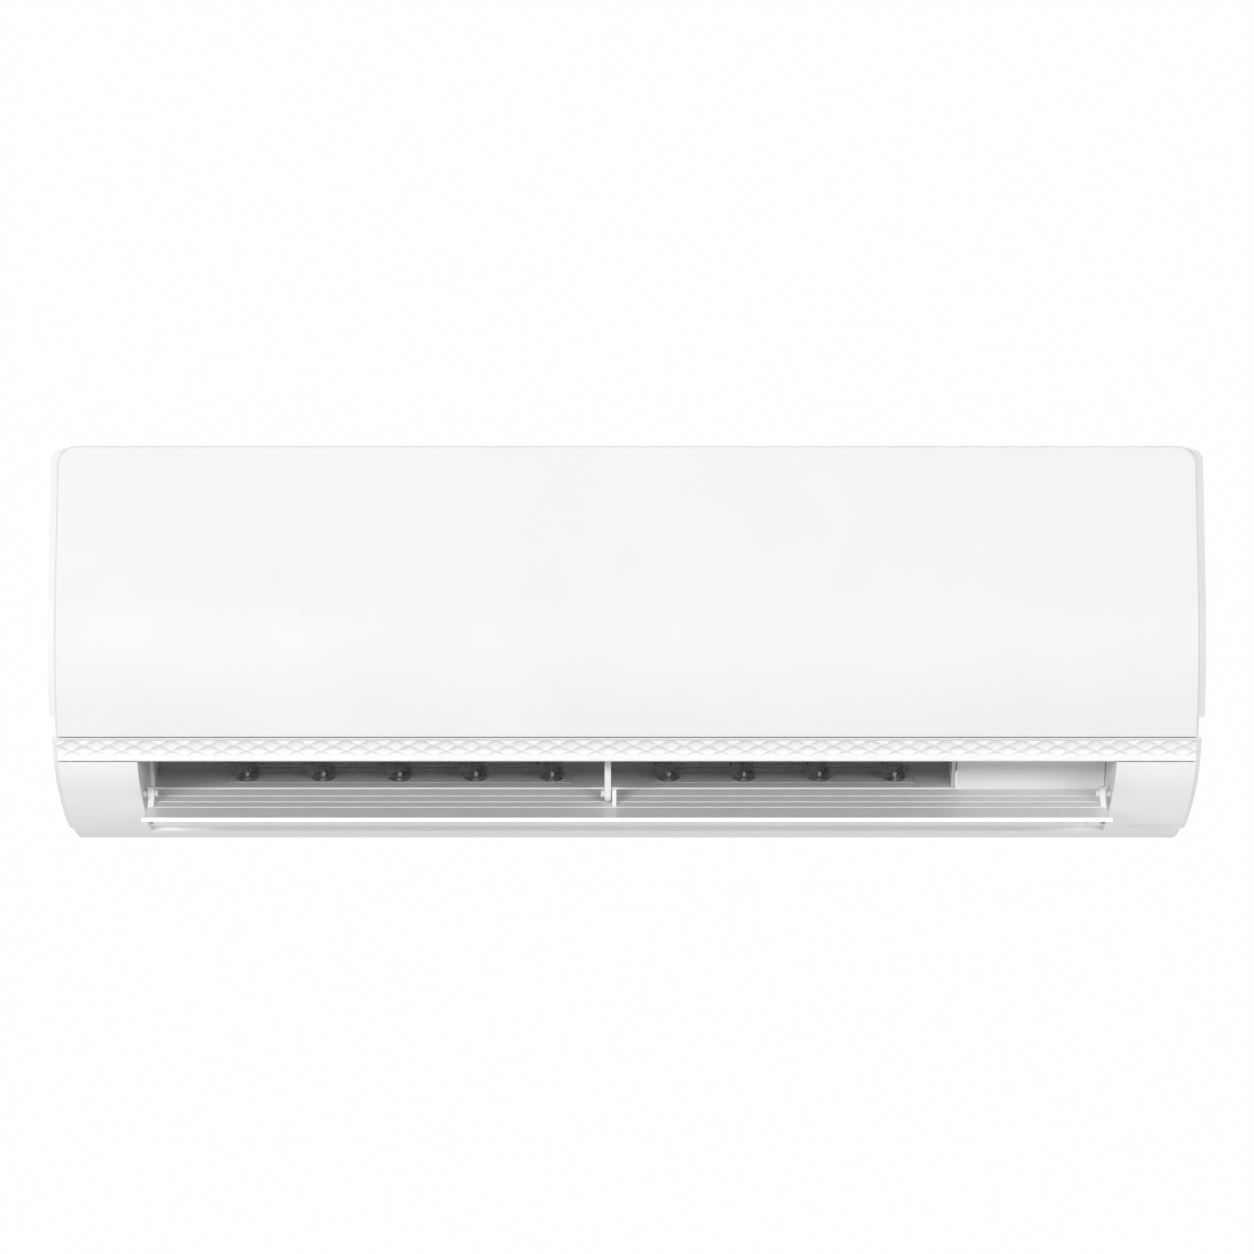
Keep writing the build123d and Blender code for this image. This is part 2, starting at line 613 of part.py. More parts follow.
with BuildPart() as louver_closed:
    extrude(louver_band(0, louver_skin, -louver_half_width), amount=2 * louver_half_width)
    lip_turn = degrees(louver_lip_length / chin_radius)
    lip = [
        chin_at(0, louver_front_angle),
        chin_at(louver_lip, louver_front_angle),
        chin_at(louver_lip, louver_front_angle + lip_turn),
        chin_at(0, louver_front_angle + lip_turn),
    ]
    extrude(side_face(lip, -louver_half_width), amount=2 * louver_half_width)
    groove_turn = lip_turn + degrees(louver_groove_length / chin_radius)
    groove = [
        chin_at(louver_skin - louver_groove, louver_front_angle + lip_turn),
        chin_at(louver_skin + 1, louver_front_angle + lip_turn),
        chin_at(louver_skin + 1, louver_front_angle + groove_turn),
        chin_at(louver_skin - louver_groove, louver_front_angle + groove_turn),
    ]
    groove_cut = side_face(groove, -louver_half_width - 1)
    extrude(groove_cut, amount=2 * louver_half_width + 2, mode=Mode.SUBTRACT)
    for rib in louver_ribs:
        rib_y = behind(chin_end_in + rib)
        rib_face = [
            belly_point(louver_skin - 0.5, rib_y), belly_point(louver_skin + 0.3, rib_y + 0.3),
            belly_point(louver_skin + 0.3, rib_y + 1.1), belly_point(louver_skin - 0.5, rib_y + 1.4),
        ]
        extrude(side_face(rib_face, -arm_out + arm_thickness), amount=2 * (arm_out - arm_thickness))
    for x in (-arm_out, arm_out - arm_thickness):
        add(louver_arm(x, arm_thickness, arm_base_front, arm_base_rear))
    add(louver_arm(bracket_x - bracket_thickness / 2, bracket_thickness, arm_base_rear, arm_base_rear))
    bores = side_disk(*louver_pivot_point, louver_pin + pin_clearance, -louver_half_width)
    extrude(bores, amount=arm_thickness + 4, mode=Mode.SUBTRACT)
    shaft_bores = side_disk(*louver_pivot_point, louver_pin + pin_clearance, arm_out - arm_thickness - 1)
    extrude(shaft_bores, amount=arm_thickness + 2, mode=Mode.SUBTRACT)
    middle_bore = side_disk(*louver_pivot_point, louver_pin + pin_clearance, bracket_x - bracket_thickness)
    extrude(middle_bore, amount=2 * bracket_thickness, mode=Mode.SUBTRACT)

with BuildPart() as louver:
    add(louver_closed.part.rotate(louver_axis, louver_open))
save(louver, "louver")

# pivot pins: the left one is fixed in the casing, the middle one in the louver's bracket
with BuildPart() as left_louver_pin:
    left_end = -arm_out + arm_thickness + pin_inner_end
    start = -outlet_half_width - wall
    extrude(side_disk(*louver_pivot_point, louver_pin, start), amount=left_end - start)
save(left_louver_pin, "left_louver_pin")

with BuildPart() as middle_louver_pin:
    start = strut_x - strut_thickness / 2 - pin_inner_end
    end = bracket_x + bracket_thickness / 2
    extrude(side_disk(*louver_pivot_point, louver_pin, start), amount=end - start)
save(middle_louver_pin, "middle_louver_pin")

motor_gap = 1.0
louver_motor_radius = 14.0
louver_motor_length = 19.0
louver_shaft_offset = 8.0
ear_reach = 21.0              # ears on both sides of the motor's middle
ear_half_width = 3.5
ear_screw = 1.7               # radius of their screw holes
louver_motor_x = outlet_half_width + wall + motor_gap
with BuildPart() as louver_shaft:
    start = arm_out - arm_thickness - pin_inner_end
    extrude(side_disk(*louver_pivot_point, louver_pin, start), amount=louver_motor_x + motor_gap * 3 - start)
save(louver_shaft, "louver_shaft")

with BuildPart() as louver_motor:
    centre = (louver_pivot_point[0], louver_pivot_point[1] + louver_shaft_offset)
    extrude(side_disk(*centre, louver_motor_radius, louver_motor_x), amount=louver_motor_length)
    ear_plate = [
        (centre[0] - ear_reach, centre[1] - ear_half_width),
        (centre[0] + ear_reach, centre[1] - ear_half_width),
        (centre[0] + ear_reach, centre[1] + ear_half_width),
        (centre[0] - ear_reach, centre[1] + ear_half_width),
    ]
    extrude(side_face(ear_plate, louver_motor_x), amount=1.2)
    for y in (centre[0] - ear_reach + ear_half_width, centre[0] + ear_reach - ear_half_width):
        extrude(side_disk(y, centre[1], ear_screw, louver_motor_x - 1), amount=4, mode=Mode.SUBTRACT)
    shaft_hole = side_disk(*louver_pivot_point, louver_pin + pin_clearance, louver_motor_x - 1)
    extrude(shaft_hole, amount=motor_gap * 5, mode=Mode.SUBTRACT)
    with Locations((louver_motor_x + louver_motor_length / 2, centre[0], centre[1] + louver_motor_radius)):
        Box(12, 16, 6)
save(louver_motor, "louver_motor")

# ---------------------------------------------------------------- drain pan, strut, outlet blank
pan_half_width = outlet_half_width - 0.3
pan_front = behind(34.5)
pan_rim = -48.0
pan_floor = -55.5
pan_end_rise = 6.0
pan_tongue = (behind(85.5), -46.0)
pan_lip = (behind(39.5), -78.5)
spigot_place = (behind(55.0), pan_floor + 4.5)
with BuildPart() as drain_pan:
    pan = [
        pan_lip,
        pan_tongue,
        (pan_tongue[0] - 2.5, pan_rim + 10),
        (pan_tongue[0] - 5.5, pan_rim + 10),
        (pan_tongue[0] - 10.5, pan_rim - 2),
        (pan_tongue[0] - 15.5, pan_floor),
        (pan_front + 4.5, pan_floor),
        (pan_front + wall, pan_rim),
        (pan_front, pan_rim),
        (pan_front, pan_rim - 16),
    ]
    extrude(side_face(pan, -pan_half_width), amount=2 * pan_half_width)
    # closed ends of the trough
    for x in (-pan_half_width, pan_half_width - wall):
        end = [pan[9], (pan_front, pan_rim + pan_end_rise), pan[2], pan_tongue]
        extrude(side_face(end, x), amount=wall)
    outlet = side_disk(*spigot_place, spigot_bore, -pan_half_width - 1)
    extrude(outlet, amount=wall + 1, mode=Mode.SUBTRACT)
save(drain_pan, "drain_pan")


def ceiling_z(y):
    """Height of the duct's ceiling, the drain pan's underside."""
    share = (y - pan_lip[0]) / (pan_tongue[0] - pan_lip[0])
    return pan_lip[1] + share * (pan_tongue[1] - pan_lip[1])


with BuildPart() as centre_strut:
    strut = [
        (louver_pivot_point[0] - strut_half_length, louver_pivot),
        (louver_pivot_point[0] + strut_half_length, louver_pivot),
        (pan_tongue[0] - 1.5, ceiling_z(pan_tongue[0] - 1.5)),
        (pan_tongue[0] - 18.0, ceiling_z(pan_tongue[0] - 18.0)),
    ]
    start = strut_x - strut_thickness / 2
    extrude(side_face(strut, start), amount=strut_thickness)
    extrude(side_disk(*louver_pivot_point, strut_half_length, start), amount=strut_thickness)
    strut_bore = side_disk(*louver_pivot_point, louver_pin + pin_clearance, start - 1)
    extrude(strut_bore, amount=strut_thickness + 2, mode=Mode.SUBTRACT)
save(centre_strut, "centre_strut")

# ---------------------------------------------------------------- rear chassis with the air duct
floor_dir = (cos(radians(floor_slope)), sin(radians(floor_slope)))
floor_normal = (-sin(radians(floor_slope)), cos(radians(floor_slope)))
vane_pivot_y = behind(vane_pivot_in)


def floor_point(y, lift=0.0):
    """Point over the duct floor: at depth place y on its surface, lifted along its normal."""
    z = vane_pivot + (y - vane_pivot_y) * tan(radians(floor_slope))
    return (y + lift * floor_normal[0], z + lift * floor_normal[1])


def floor_plane(x, turn=0.0):
    """Plane on the duct floor at a vane pivot: local Y runs back up the floor, Z away from it."""
    a = radians(turn)
    x_dir = (cos(a), -sin(a) * floor_dir[0], -sin(a) * floor_dir[1])
    return Plane(origin=(x, vane_pivot_y, vane_pivot), x_dir=x_dir, z_dir=(0, *floor_normal))


def spread(first, last, count):
    """Evenly spaced places from first to last."""
    return [first + (last - first) * n / (count - 1) for n in range(count)]


def holder_outline(pivots, spare):
    """Outline of a vane holder in the plane of the duct floor, larger by spare all round."""
    with BuildSketch(floor_plane((pivots[0] + pivots[-1]) / 2)) as outline:
        with Locations((0, (holder_rear - holder_front) / 2)):
            width = pivots[-1] - pivots[0] + 2 * (holder_end + spare)
            Rectangle(width, holder_rear + holder_front + 2 * spare)
    return outline.sketch


vane_sets = (
    ("left", spread(duct_left + left_wall_to_vane, strut_x - strut_to_left_vane, left_vanes)),
    ("right", spread(strut_x + strut_to_right_vane, duct_right - right_wall_to_vane, right_vanes)),
)

duct_back = back_wall - duct_wall
scroll_centre_y = duct_back - scroll_radius
scroll_start = floor_point(scroll_centre_y + scroll_radius * sin(radians(floor_slope)))
scroll_centre = (scroll_centre_y, scroll_start[1] + scroll_radius * cos(radians(floor_slope)))
half_turn = radians((floor_slope + 90) / 2 - 90)
nose_y = behind(floor_nose_in)
fan_line = (behind(fan_centre_share * depth), fan_centre)
end_wall_front = behind(91.0)
end_wall_top = 38.0
hook_x = 200.0
hook_half_width = 10.0
hook_thickness = 1.5
hook_seat = 111.5             # upper face of the wall plate's hooks
hook_slot = 14.0
chassis_half_width = half_width - wall - 1.5
chassis_top = top - 3 * wall
chassis_foot = -95.0
bush_radius = 9.0
standoff_height = 150.0
motor_left = duct_right + duct_wall + 8.0
motor_length = 48.0
motor_radius = 38.0
clamp_gap = 0.4

end_wall_outline = [
    floor_point(nose_y + 2, -floor_thickness / 2),
    (end_wall_front, pan_tongue[1] - 4),
    (end_wall_front, end_wall_top - 10),
    (fan_line[0] - 10, end_wall_top),
    (back_wall + 1, end_wall_top),
    (back_wall + 1, scroll_start[1]),
    floor_point(scroll_start[0], -floor_thickness / 2),
]

with BuildPart() as rear_chassis:
    # back with standoffs that rest on the wall plate
    with Locations((0, back_wall + back_wall_thickness / 2, (chassis_foot + chassis_top) / 2)):
        Box(2 * chassis_half_width, back_wall_thickness, chassis_top - chassis_foot)
    rear_face = back_wall + back_wall_thickness
    last_window_end = 1.5 * plate_window_pitch + plate_window_width / 2
    outer_bar = (last_window_end + plate_half_width) / 2
    for x in (-outer_bar, -plate_window_pitch, plate_window_pitch, outer_bar):
        with Locations((x, (rear_face - plate_thickness) / 2, plate_middle)):
            Box(wall, -plate_thickness - rear_face, standoff_height)
    # slots that hang on the wall plate's hooks
    for x in (-hook_x, hook_x):
        with Locations((x, back_wall, hook_seat + seat_gap - hook_slot / 2)):
            Box(2 * hook_half_width + 2, 4 * back_wall_thickness, hook_slot, mode=Mode.SUBTRACT)
    # duct floor, scroll and rear guide
    with BuildSketch(Plane.YZ.offset(duct_left - duct_wall)):
        with BuildLine():
            under = floor_point(nose_y, -floor_thickness)
            turn = (cos(half_turn), sin(half_turn))
            outer = scroll_radius + floor_thickness
            arc_mid = (scroll_centre[0] + scroll_radius * turn[0], scroll_centre[1] + scroll_radius * turn[1])
            arc_out = (scroll_centre[0] + outer * turn[0], scroll_centre[1] + outer * turn[1])
            out_start = floor_point(scroll_start[0], -floor_thickness)
            Line(floor_point(nose_y), scroll_start)
            ThreePointArc(scroll_start, arc_mid, (duct_back, scroll_centre[1]))
            Polyline((duct_back, scroll_centre[1]), (duct_back, scroll_top), (back_wall, scroll_top),
                     (back_wall, scroll_centre[1]))
            ThreePointArc((back_wall, scroll_centre[1]), arc_out, out_start)
            Line(out_start, under)
            tip = (nose_y - floor_thickness / 2, (floor_point(nose_y)[1] + under[1]) / 2)
            ThreePointArc(under, tip, floor_point(nose_y))
        make_face()
    extrude(amount=duct_right - duct_left + 2 * duct_wall)
    # seats of the vane holders in the floor
    for side, pivots in vane_sets:
        seat = holder_outline(pivots, seat_gap)
        extrude(seat, amount=holder_proud - holder_thickness, mode=Mode.SUBTRACT)
    # end wall with the bearing seat, and the wall between the duct and the motor
    for x in (duct_left - duct_wall, duct_right):
        extrude(side_face(end_wall_outline, x), amount=duct_wall)
    extrude(side_disk(*fan_line, bush_radius + 3, duct_left - duct_wall - 5), amount=5)
    bush_seat = side_disk(*fan_line, bush_radius, duct_left - duct_wall - 6)
    extrude(bush_seat, amount=7 + duct_wall, mode=Mode.SUBTRACT)
    extrude(side_disk(*fan_line, fan_shaft + 6, duct_right - 1), amount=duct_wall + 2, mode=Mode.SUBTRACT)
    # cradle under the fan motor
    cradle_foot = fan_line[1] - motor_radius - 8
    cradle_nose = pan_tongue[0] + 19.5
    cradle = [
        (back_wall + 1, cradle_foot),
        (cradle_nose, cradle_foot),
        (pan_tongue[0] + 3.5, pan_rim + 14),
        (fan_line[0] - motor_radius - 13, pan_rim + 22),
        (fan_line[0] - motor_radius - 13, fan_line[1]),
        (back_wall + 1, fan_line[1]),
    ]
    for x in (motor_left + 6, motor_left + motor_length - 10):
        extrude(side_face(cradle, x), amount=4)
    motor_room = side_disk(*fan_line, motor_radius + clamp_gap, motor_left)
    extrude(motor_room, amount=motor_length, mode=Mode.SUBTRACT)
    with Locations((motor_left + motor_length / 2, (back_wall + cradle_nose) / 2, cradle_foot - 1.5)):
        Box(motor_length - 8, back_wall - cradle_nose, 3)
save(rear_chassis, "rear_chassis")

blank_gap = 0.5
blank_top = (pan_tongue[0] + 2.0, pan_tongue[1])
blank_foot = (lip_top[0] + blank_gap, lip_top[1] + blank_gap)
with BuildPart() as outlet_blank:
    slope = atan2(blank_top[1] - blank_foot[1], blank_top[0] - blank_foot[0])
    shift = (wall * sin(slope), -wall * cos(slope))
    blank = [
        blank_foot,
        blank_top,
        (blank_top[0] + shift[0], blank_top[1] + shift[1]),
        (blank_foot[0] + shift[0], blank_foot[1] + shift[1]),
    ]
    start = duct_right + duct_wall + blank_gap
    extrude(side_face(blank, start), amount=outlet_half_width - blank_gap - start)
save(outlet_blank, "outlet_blank")

# ---------------------------------------------------------------- vanes
vane_gap = 0.25               # holder to disk, disk to link bar
link_pin = 1.5
link_thickness = 1.6
link_half_width = 3.0
pin_proud = 2.4               # the holder's pins stand this far out of the disks
arm_half_width = 2.6
disk_low = holder_proud + vane_gap
disk_high = disk_low + vane_disk_height
link_low = disk_high + vane_gap
link_high = link_low + link_thickness
blade_notch = 3.4


def make_vane(x):
    """Vane with its disk, link arm and link pin, turned as it stands at rest."""
    base = floor_plane(x, vane_angle)
    with BuildPart() as vane:
        with BuildSketch(base.offset(disk_low)):
            Circle(vane_disk)
            with Locations((0, vane_link_reach / 2)):
                Rectangle(2 * arm_half_width, vane_link_reach)
            with Locations((0, vane_link_reach)):
                Circle(arm_half_width)
        extrude(amount=vane_disk_height)
        with BuildSketch(base.offset(disk_high)):
            with Locations((0, vane_link_reach)):
                Circle(link_pin)
        extrude(amount=link_thickness + 3 * vane_gap)
        blade_plane = Plane(origin=base.origin, x_dir=base.y_dir, z_dir=base.x_dir)
        with BuildSketch(blade_plane.offset(-vane_thickness / 2)):
            with BuildLine():
                Polyline(
                    (-blade_notch, disk_high - 0.5), (-blade_notch, disk_high + 4),
                    (blade_notch, disk_high + 4), (blade_notch, disk_high - 0.5),
                    (8.0, disk_high - 0.5), (8.0, link_high + 2.2),
                    (vane_rear, link_high + 3.5), (vane_rear, vane_height - 7), (vane_rear - 7, vane_height),
                    (-vane_front + 9, vane_height), (-vane_front, vane_height - 8), (-vane_front, 13.0),
                    (-vane_front + 3, 8.5), (-7.5, disk_high - 0.5), close=True,
                )
            make_face()
        extrude(amount=vane_thickness)
        with BuildSketch(base.offset(disk_low - 1)):
            Circle(vane_pin + pin_clearance)
        extrude(amount=vane_disk_height + 2, mode=Mode.SUBTRACT)
    return vane


def make_holder(pivots):
    """Strip let into the duct floor that carries the pivot pins of one set of vanes."""
    with BuildPart() as holder:
        extrude(holder_outline(pivots, 0), amount=holder_proud)
        extrude(holder_outline(pivots, 0), amount=holder_proud - holder_thickness)
        with BuildSketch(floor_plane(0).offset(holder_proud)):
            with Locations(*[(x, 0) for x in pivots]):
                Circle(vane_pin)
        extrude(amount=vane_gap + vane_disk_height + pin_proud)
    return holder


def make_link(pivots):
    """Link bar over the link pins of one set of vanes."""
    shift = (vane_link_reach * sin(radians(vane_angle)), vane_link_reach * cos(radians(vane_angle)))
    ends = (pivots[0] + shift[0], pivots[-1] + shift[0])
    with BuildPart() as bar:
        base = floor_plane(0)
        with BuildSketch(base.offset(link_low)):
            with Locations(((ends[0] + ends[1]) / 2, shift[1])):
                SlotOverall(ends[1] - ends[0] + 4 * link_half_width, 2 * link_half_width)
            with Locations(*[(x + shift[0], shift[1]) for x in pivots]):
                Circle(link_pin + pin_clearance, mode=Mode.SUBTRACT)
        extrude(amount=link_thickness)
    return bar


for side, pivots in vane_sets:
    save(make_holder(pivots), f"vane_holder_{side}")
    save(make_link(pivots), f"vane_link_{side}")
    for number, x in enumerate(pivots, start=1):
        save(make_vane(x), f"vane_{side}_{number}")

# ---------------------------------------------------------------- cross-flow fan and its motor
fan_rim = 2.0
blade_width = 11.0
blade_thickness = 1.2
blade_tilt = 28.0
disk_thickness = 2.4
fan_hub = 11.0
fan_hub_length = 14.0
motor_shaft_length = 22.0
shaft_left_length = 20.0
blade_middle = fan_radius - blade_width / 2 - 0.5
with BuildPart() as crossflow_fan:
    plane = Plane(origin=(fan_left, *fan_line), x_dir=(0, 1, 0), z_dir=(1, 0, 0))
    with BuildSketch(plane):
        with PolarLocations(blade_middle, fan_blades):
            Rectangle(blade_width, blade_thickness, rotation=blade_tilt)
    extrude(amount=fan_right - fan_left)
    disk_step = (fan_right - fan_left - disk_thickness) / (fan_disks - 1)
    for number in range(fan_disks):
        with BuildSketch(plane.offset(number * disk_step)):
            Circle(fan_radius)
            if 0 < number < fan_disks - 1:
                Circle(fan_radius - blade_width - fan_rim, mode=Mode.SUBTRACT)
        extrude(amount=disk_thickness)
    hub_start = fan_right - disk_thickness - fan_hub_length
    extrude(side_disk(*fan_line, fan_hub, hub_start), amount=fan_hub_length)
    motor_bore = side_disk(*fan_line, fan_shaft + pin_clearance, hub_start + 2)
    extrude(motor_bore, amount=fan_hub_length + disk_thickness, mode=Mode.SUBTRACT)
    extrude(side_disk(*fan_line, fan_shaft, fan_left - shaft_left_length), amount=shaft_left_length)
save(crossflow_fan, "crossflow_fan")

with BuildPart() as fan_bush:
    bush_end = duct_left - duct_wall - 5
    extrude(side_disk(*fan_line, bush_radius, bush_end), amount=-bush_end + duct_left - 0.5)
    bore = side_disk(*fan_line, fan_shaft + pin_clearance, bush_end - 1)
    extrude(bore, amount=12, mode=Mode.SUBTRACT)
save(fan_bush, "fan_bush")

with BuildPart() as motor_shaft:
    start = fan_right - motor_shaft_length / 2
    extrude(side_disk(*fan_line, fan_shaft, start), amount=motor_left + motor_length + 6 - start)
save(motor_shaft, "motor_shaft")

motor_end_gap = 1.0
with BuildPart() as fan_motor:
    can_length = motor_length - 2 * motor_end_gap
    extrude(side_disk(*fan_line, motor_radius, motor_left + motor_end_gap), amount=can_length)
    fillet(fan_motor.edges().filter_by(GeomType.CIRCLE), 3.0)
    shaft_hole = side_disk(*fan_line, fan_shaft + pin_clearance, motor_left - 1)
    extrude(shaft_hole, amount=motor_length + 2, mode=Mode.SUBTRACT)
save(fan_motor, "fan_motor")

clamp_thickness = 3.0
flange_length = 12.0
clamp_reach = motor_radius + clamp_gap
with BuildPart() as motor_clamp:
    for x in (motor_left + 4, motor_left + motor_length - 14):
        with BuildSketch(Plane.YZ.offset(x)):
            with Locations(fan_line):
                Circle(clamp_reach + clamp_thickness)
                Circle(clamp_reach, mode=Mode.SUBTRACT)
            with Locations((fan_line[0], fan_line[1] - depth / 2 + 0.5)):
                Rectangle(depth, depth, mode=Mode.SUBTRACT)
            for side in (-1, 1):
                flange_y = fan_line[0] + side * (clamp_reach + flange_length / 2 + seat_gap)
                with Locations((flange_y, fan_line[1] + seat_gap + clamp_thickness / 2)):
                    Rectangle(flange_length, clamp_thickness)
        extrude(amount=10)
    bridge_z = fan_line[1] + clamp_reach + clamp_thickness / 2
    with Locations((motor_left + motor_length / 2 - 0.5, fan_line[0], bridge_z)):
        Box(motor_length - 12, 12, clamp_thickness)
save(motor_clamp, "motor_clamp")

# ---------------------------------------------------------------- evaporator
half_coil = coil_thickness / 2
coil_sections = (              # lower and upper end of each section's middle line
    ((behind(49.0), -45.0), (behind(49.0), 26.0)),
    ((behind(52.0), 36.0), (behind(104.0), 112.0)),
    ((-37.5, 50.0), (behind(126.0), 108.0)),
)
tube_radius = 3.6
tube_pitch = 19.0
tube_row = 6.0
coil_plate = 1.2
tab_low = 96.0
tab_high = 112.0


def section_corners(low, high, spread, stretch):
    """Corners of a coil section in the side view, spread in thickness and stretched in length."""
    length = hypot(high[0] - low[0], high[1] - low[1])
    along = ((high[0] - low[0]) / length, (high[1] - low[1]) / length)
    across = (-along[1], along[0])
    corners = []
    for end, sign in ((low, -1), (high, 1)):
        for side in (-sign, sign):
            corners.append((
                end[0] + sign * stretch * along[0] + side * spread * across[0],
                end[1] + sign * stretch * along[1] + side * spread * across[1],
            ))
    return [corners[0], corners[1], corners[2], corners[3]]


def tube_rows(low, high):
    """Places of the tubes of a section, two rows along its middle line."""
    length = hypot(high[0] - low[0], high[1] - low[1])
    along = ((high[0] - low[0]) / length, (high[1] - low[1]) / length)
    across = (-along[1], along[0])
    count = int(length / tube_pitch)
    first = (length - (count - 1) * tube_pitch) / 2
    rows = []
    for side in (-1, 1):
        rows.append([
            (low[0] + (first + n * tube_pitch) * along[0] + side * tube_row * across[0],
             low[1] + (first + n * tube_pitch) * along[1] + side * tube_row * across[1])
            for n in range(count)
        ])
    return rows


with BuildPart() as coil_fins:
    for low, high in coil_sections:
        extrude(side_face(section_corners(low, high, half_coil, 0), coil_left), amount=coil_right - coil_left)
save(coil_fins, "coil_fins")

# bridges between the sections' end plates, and the tab that holds them to the chassis back
plate_bridges = (
    [(behind(39.0), 18.0), (behind(59.0), 18.0), (behind(69.0), 48.0), (behind(47.0), 42.0)],
    [
        (behind(93.0), tab_low + 8), (behind(107.0), tab_low), (behind(125.0), tab_low),
        (behind(131.0), tab_high - 2), (behind(103.0), tab_high + 4),
    ],
    [(behind(143.0), tab_low - 8), (back_wall, tab_low), (back_wall, tab_high), (behind(131.0), tab_high)],
)
for side, x in (("left", coil_left - coil_plate), ("right", coil_right)):
    with BuildPart() as end_plate:
        for low, high in coil_sections:
            extrude(side_face(section_corners(low, high, half_coil - 0.5, 0.5), x), amount=coil_plate)
        for bridge in plate_bridges:
            extrude(side_face(bridge, x), amount=coil_plate)
        for low, high in coil_sections:
            for row in tube_rows(low, high):
                for place in row:
                    hole = side_disk(*place, tube_radius + pin_clearance, x - 1)
                    extrude(hole, amount=coil_plate + 2, mode=Mode.SUBTRACT)
    save(end_plate, f"coil_end_plate_{side}")


def u_bend(x, p, q, out):
    """Half ring between two tube ends at x, bulging to the side out (+1 or -1)."""
    middle = ((p[0] + q[0]) / 2, (p[1] + q[1]) / 2)
    axis = Axis((x, *middle), (0, out * (q[1] - p[1]), -out * (q[0] - p[0])))
    section = side_disk(*p, tube_radius, x)
    return revolve(section, axis=axis, revolution_arc=180, mode=Mode.PRIVATE)


stub = 3.0
with BuildPart() as coil_bends:
    for low, high in coil_sections:
        for row in tube_rows(low, high):
            for n in range(0, len(row) - 1, 2):
                x = coil_left - coil_plate - stub
                add(u_bend(x, row[n], row[n + 1], 1))
                for place in (row[n], row[n + 1]):
                    extrude(side_disk(*place, tube_radius, x), amount=stub + coil_plate)
            for n in range(1, len(row) - 1, 2):
                x = coil_right + coil_plate + stub
                add(u_bend(x, row[n], row[n + 1], -1))
                for place in (row[n], row[n + 1]):
                    extrude(side_disk(*place, tube_radius, x - stub - coil_plate), amount=stub + coil_plate)
save(coil_bends, "coil_bends")

# ---------------------------------------------------------------- filters
filter_inset = panel_depth + panel_gap + wall + seat_gap
filter_thickness = 2.6
filter_foot = -43.0
filter_head = 128.0
filter_columns = 6
filter_rows = 4
filter_bar = 4.0
filter_overlap = 4.0
filter_middle = (filter_foot + filter_head) / 2
filter_spans = {
    "left": (window_left - filter_overlap, window_middle - filter_split + 2.0),
    "right": (window_middle + filter_split - 2.0, window_right + filter_overlap),
}
for side, (x0, x1) in filter_spans.items():
    with BuildPart() as air_filter:
        filter_back = filter_inset + filter_thickness
        extrude(panel_band(filter_inset, filter_back, filter_foot, filter_head, x0), amount=x1 - x0)
        cell_x = (x1 - x0 - filter_bar) / filter_columns
        cell_z = (filter_head - filter_foot - filter_bar) / filter_rows
        with BuildSketch(Plane.XZ.offset(depth)):
            with Locations(((x0 + x1) / 2, filter_middle)):
                with GridLocations(cell_x, cell_z, filter_columns, filter_rows):
                    Rectangle(cell_x - filter_bar, cell_z - filter_bar)
        extrude(amount=-depth / 2, mode=Mode.SUBTRACT)
        mesh_inset = filter_inset + filter_thickness / 2
        extrude(panel_band(mesh_inset - 0.3, mesh_inset + 0.3, filter_foot, filter_head, x0), amount=x1 - x0)
    save(air_filter, f"air_filter_{side}")

# ---------------------------------------------------------------- electrics
box_front = behind(45.0)
box_foot = -34.0
box_head = 106.0
box_wall = 2.0
box_back = back_wall - seat_gap
cover_thickness = 2.0
board_thickness = 1.6
board_gap = 4.0
board_length = 112.0
board_rest_in = 12.0          # rests under the board, in from its edges
board_rest_width = 6.0
with BuildPart() as electrical_box:
    with Locations(((box_left + box_right) / 2, (box_front + box_back) / 2, (box_foot + box_head) / 2)):
        Box(box_right - box_left, box_back - box_front, box_head - box_foot)
    offset(amount=-box_wall, openings=electrical_box.faces().sort_by(Axis.Y)[0])
    for z in (box_foot + box_wall + board_rest_in, box_head - box_wall - board_rest_in):
        with Locations((box_left + box_wall + board_gap / 2, (box_front + box_back) / 2, z)):
            Box(board_gap, board_length - 2 * board_rest_in, board_rest_width)
save(electrical_box, "electrical_box")

cover_edge = 2.0              # cover past the box all round
cover_rim = 1.5
cover_rim_depth = 5.0
box_middle = (box_left + box_right) / 2
inner_width = box_width - 2 * box_wall - 1
inner_height = box_head - box_foot - 2 * box_wall - 1
with BuildPart() as box_cover:
    with Locations((box_middle, box_front - seat_gap / 2 - cover_thickness / 2, (box_foot + box_head) / 2)):
        Box(box_width + 2 * cover_edge, cover_thickness, box_head - box_foot + 2 * cover_edge)
    fillet(box_cover.edges().filter_by(Axis.Y), 2 * cover_edge)
    with BuildSketch(Plane.XZ.offset(-box_front + seat_gap / 2)):
        with Locations((box_middle, (box_foot + box_head) / 2)):
            Rectangle(inner_width, inner_height)
            Rectangle(inner_width - 2 * cover_rim, inner_height - 2 * cover_rim, mode=Mode.SUBTRACT)
    extrude(amount=-cover_rim_depth)
save(box_cover, "box_cover")

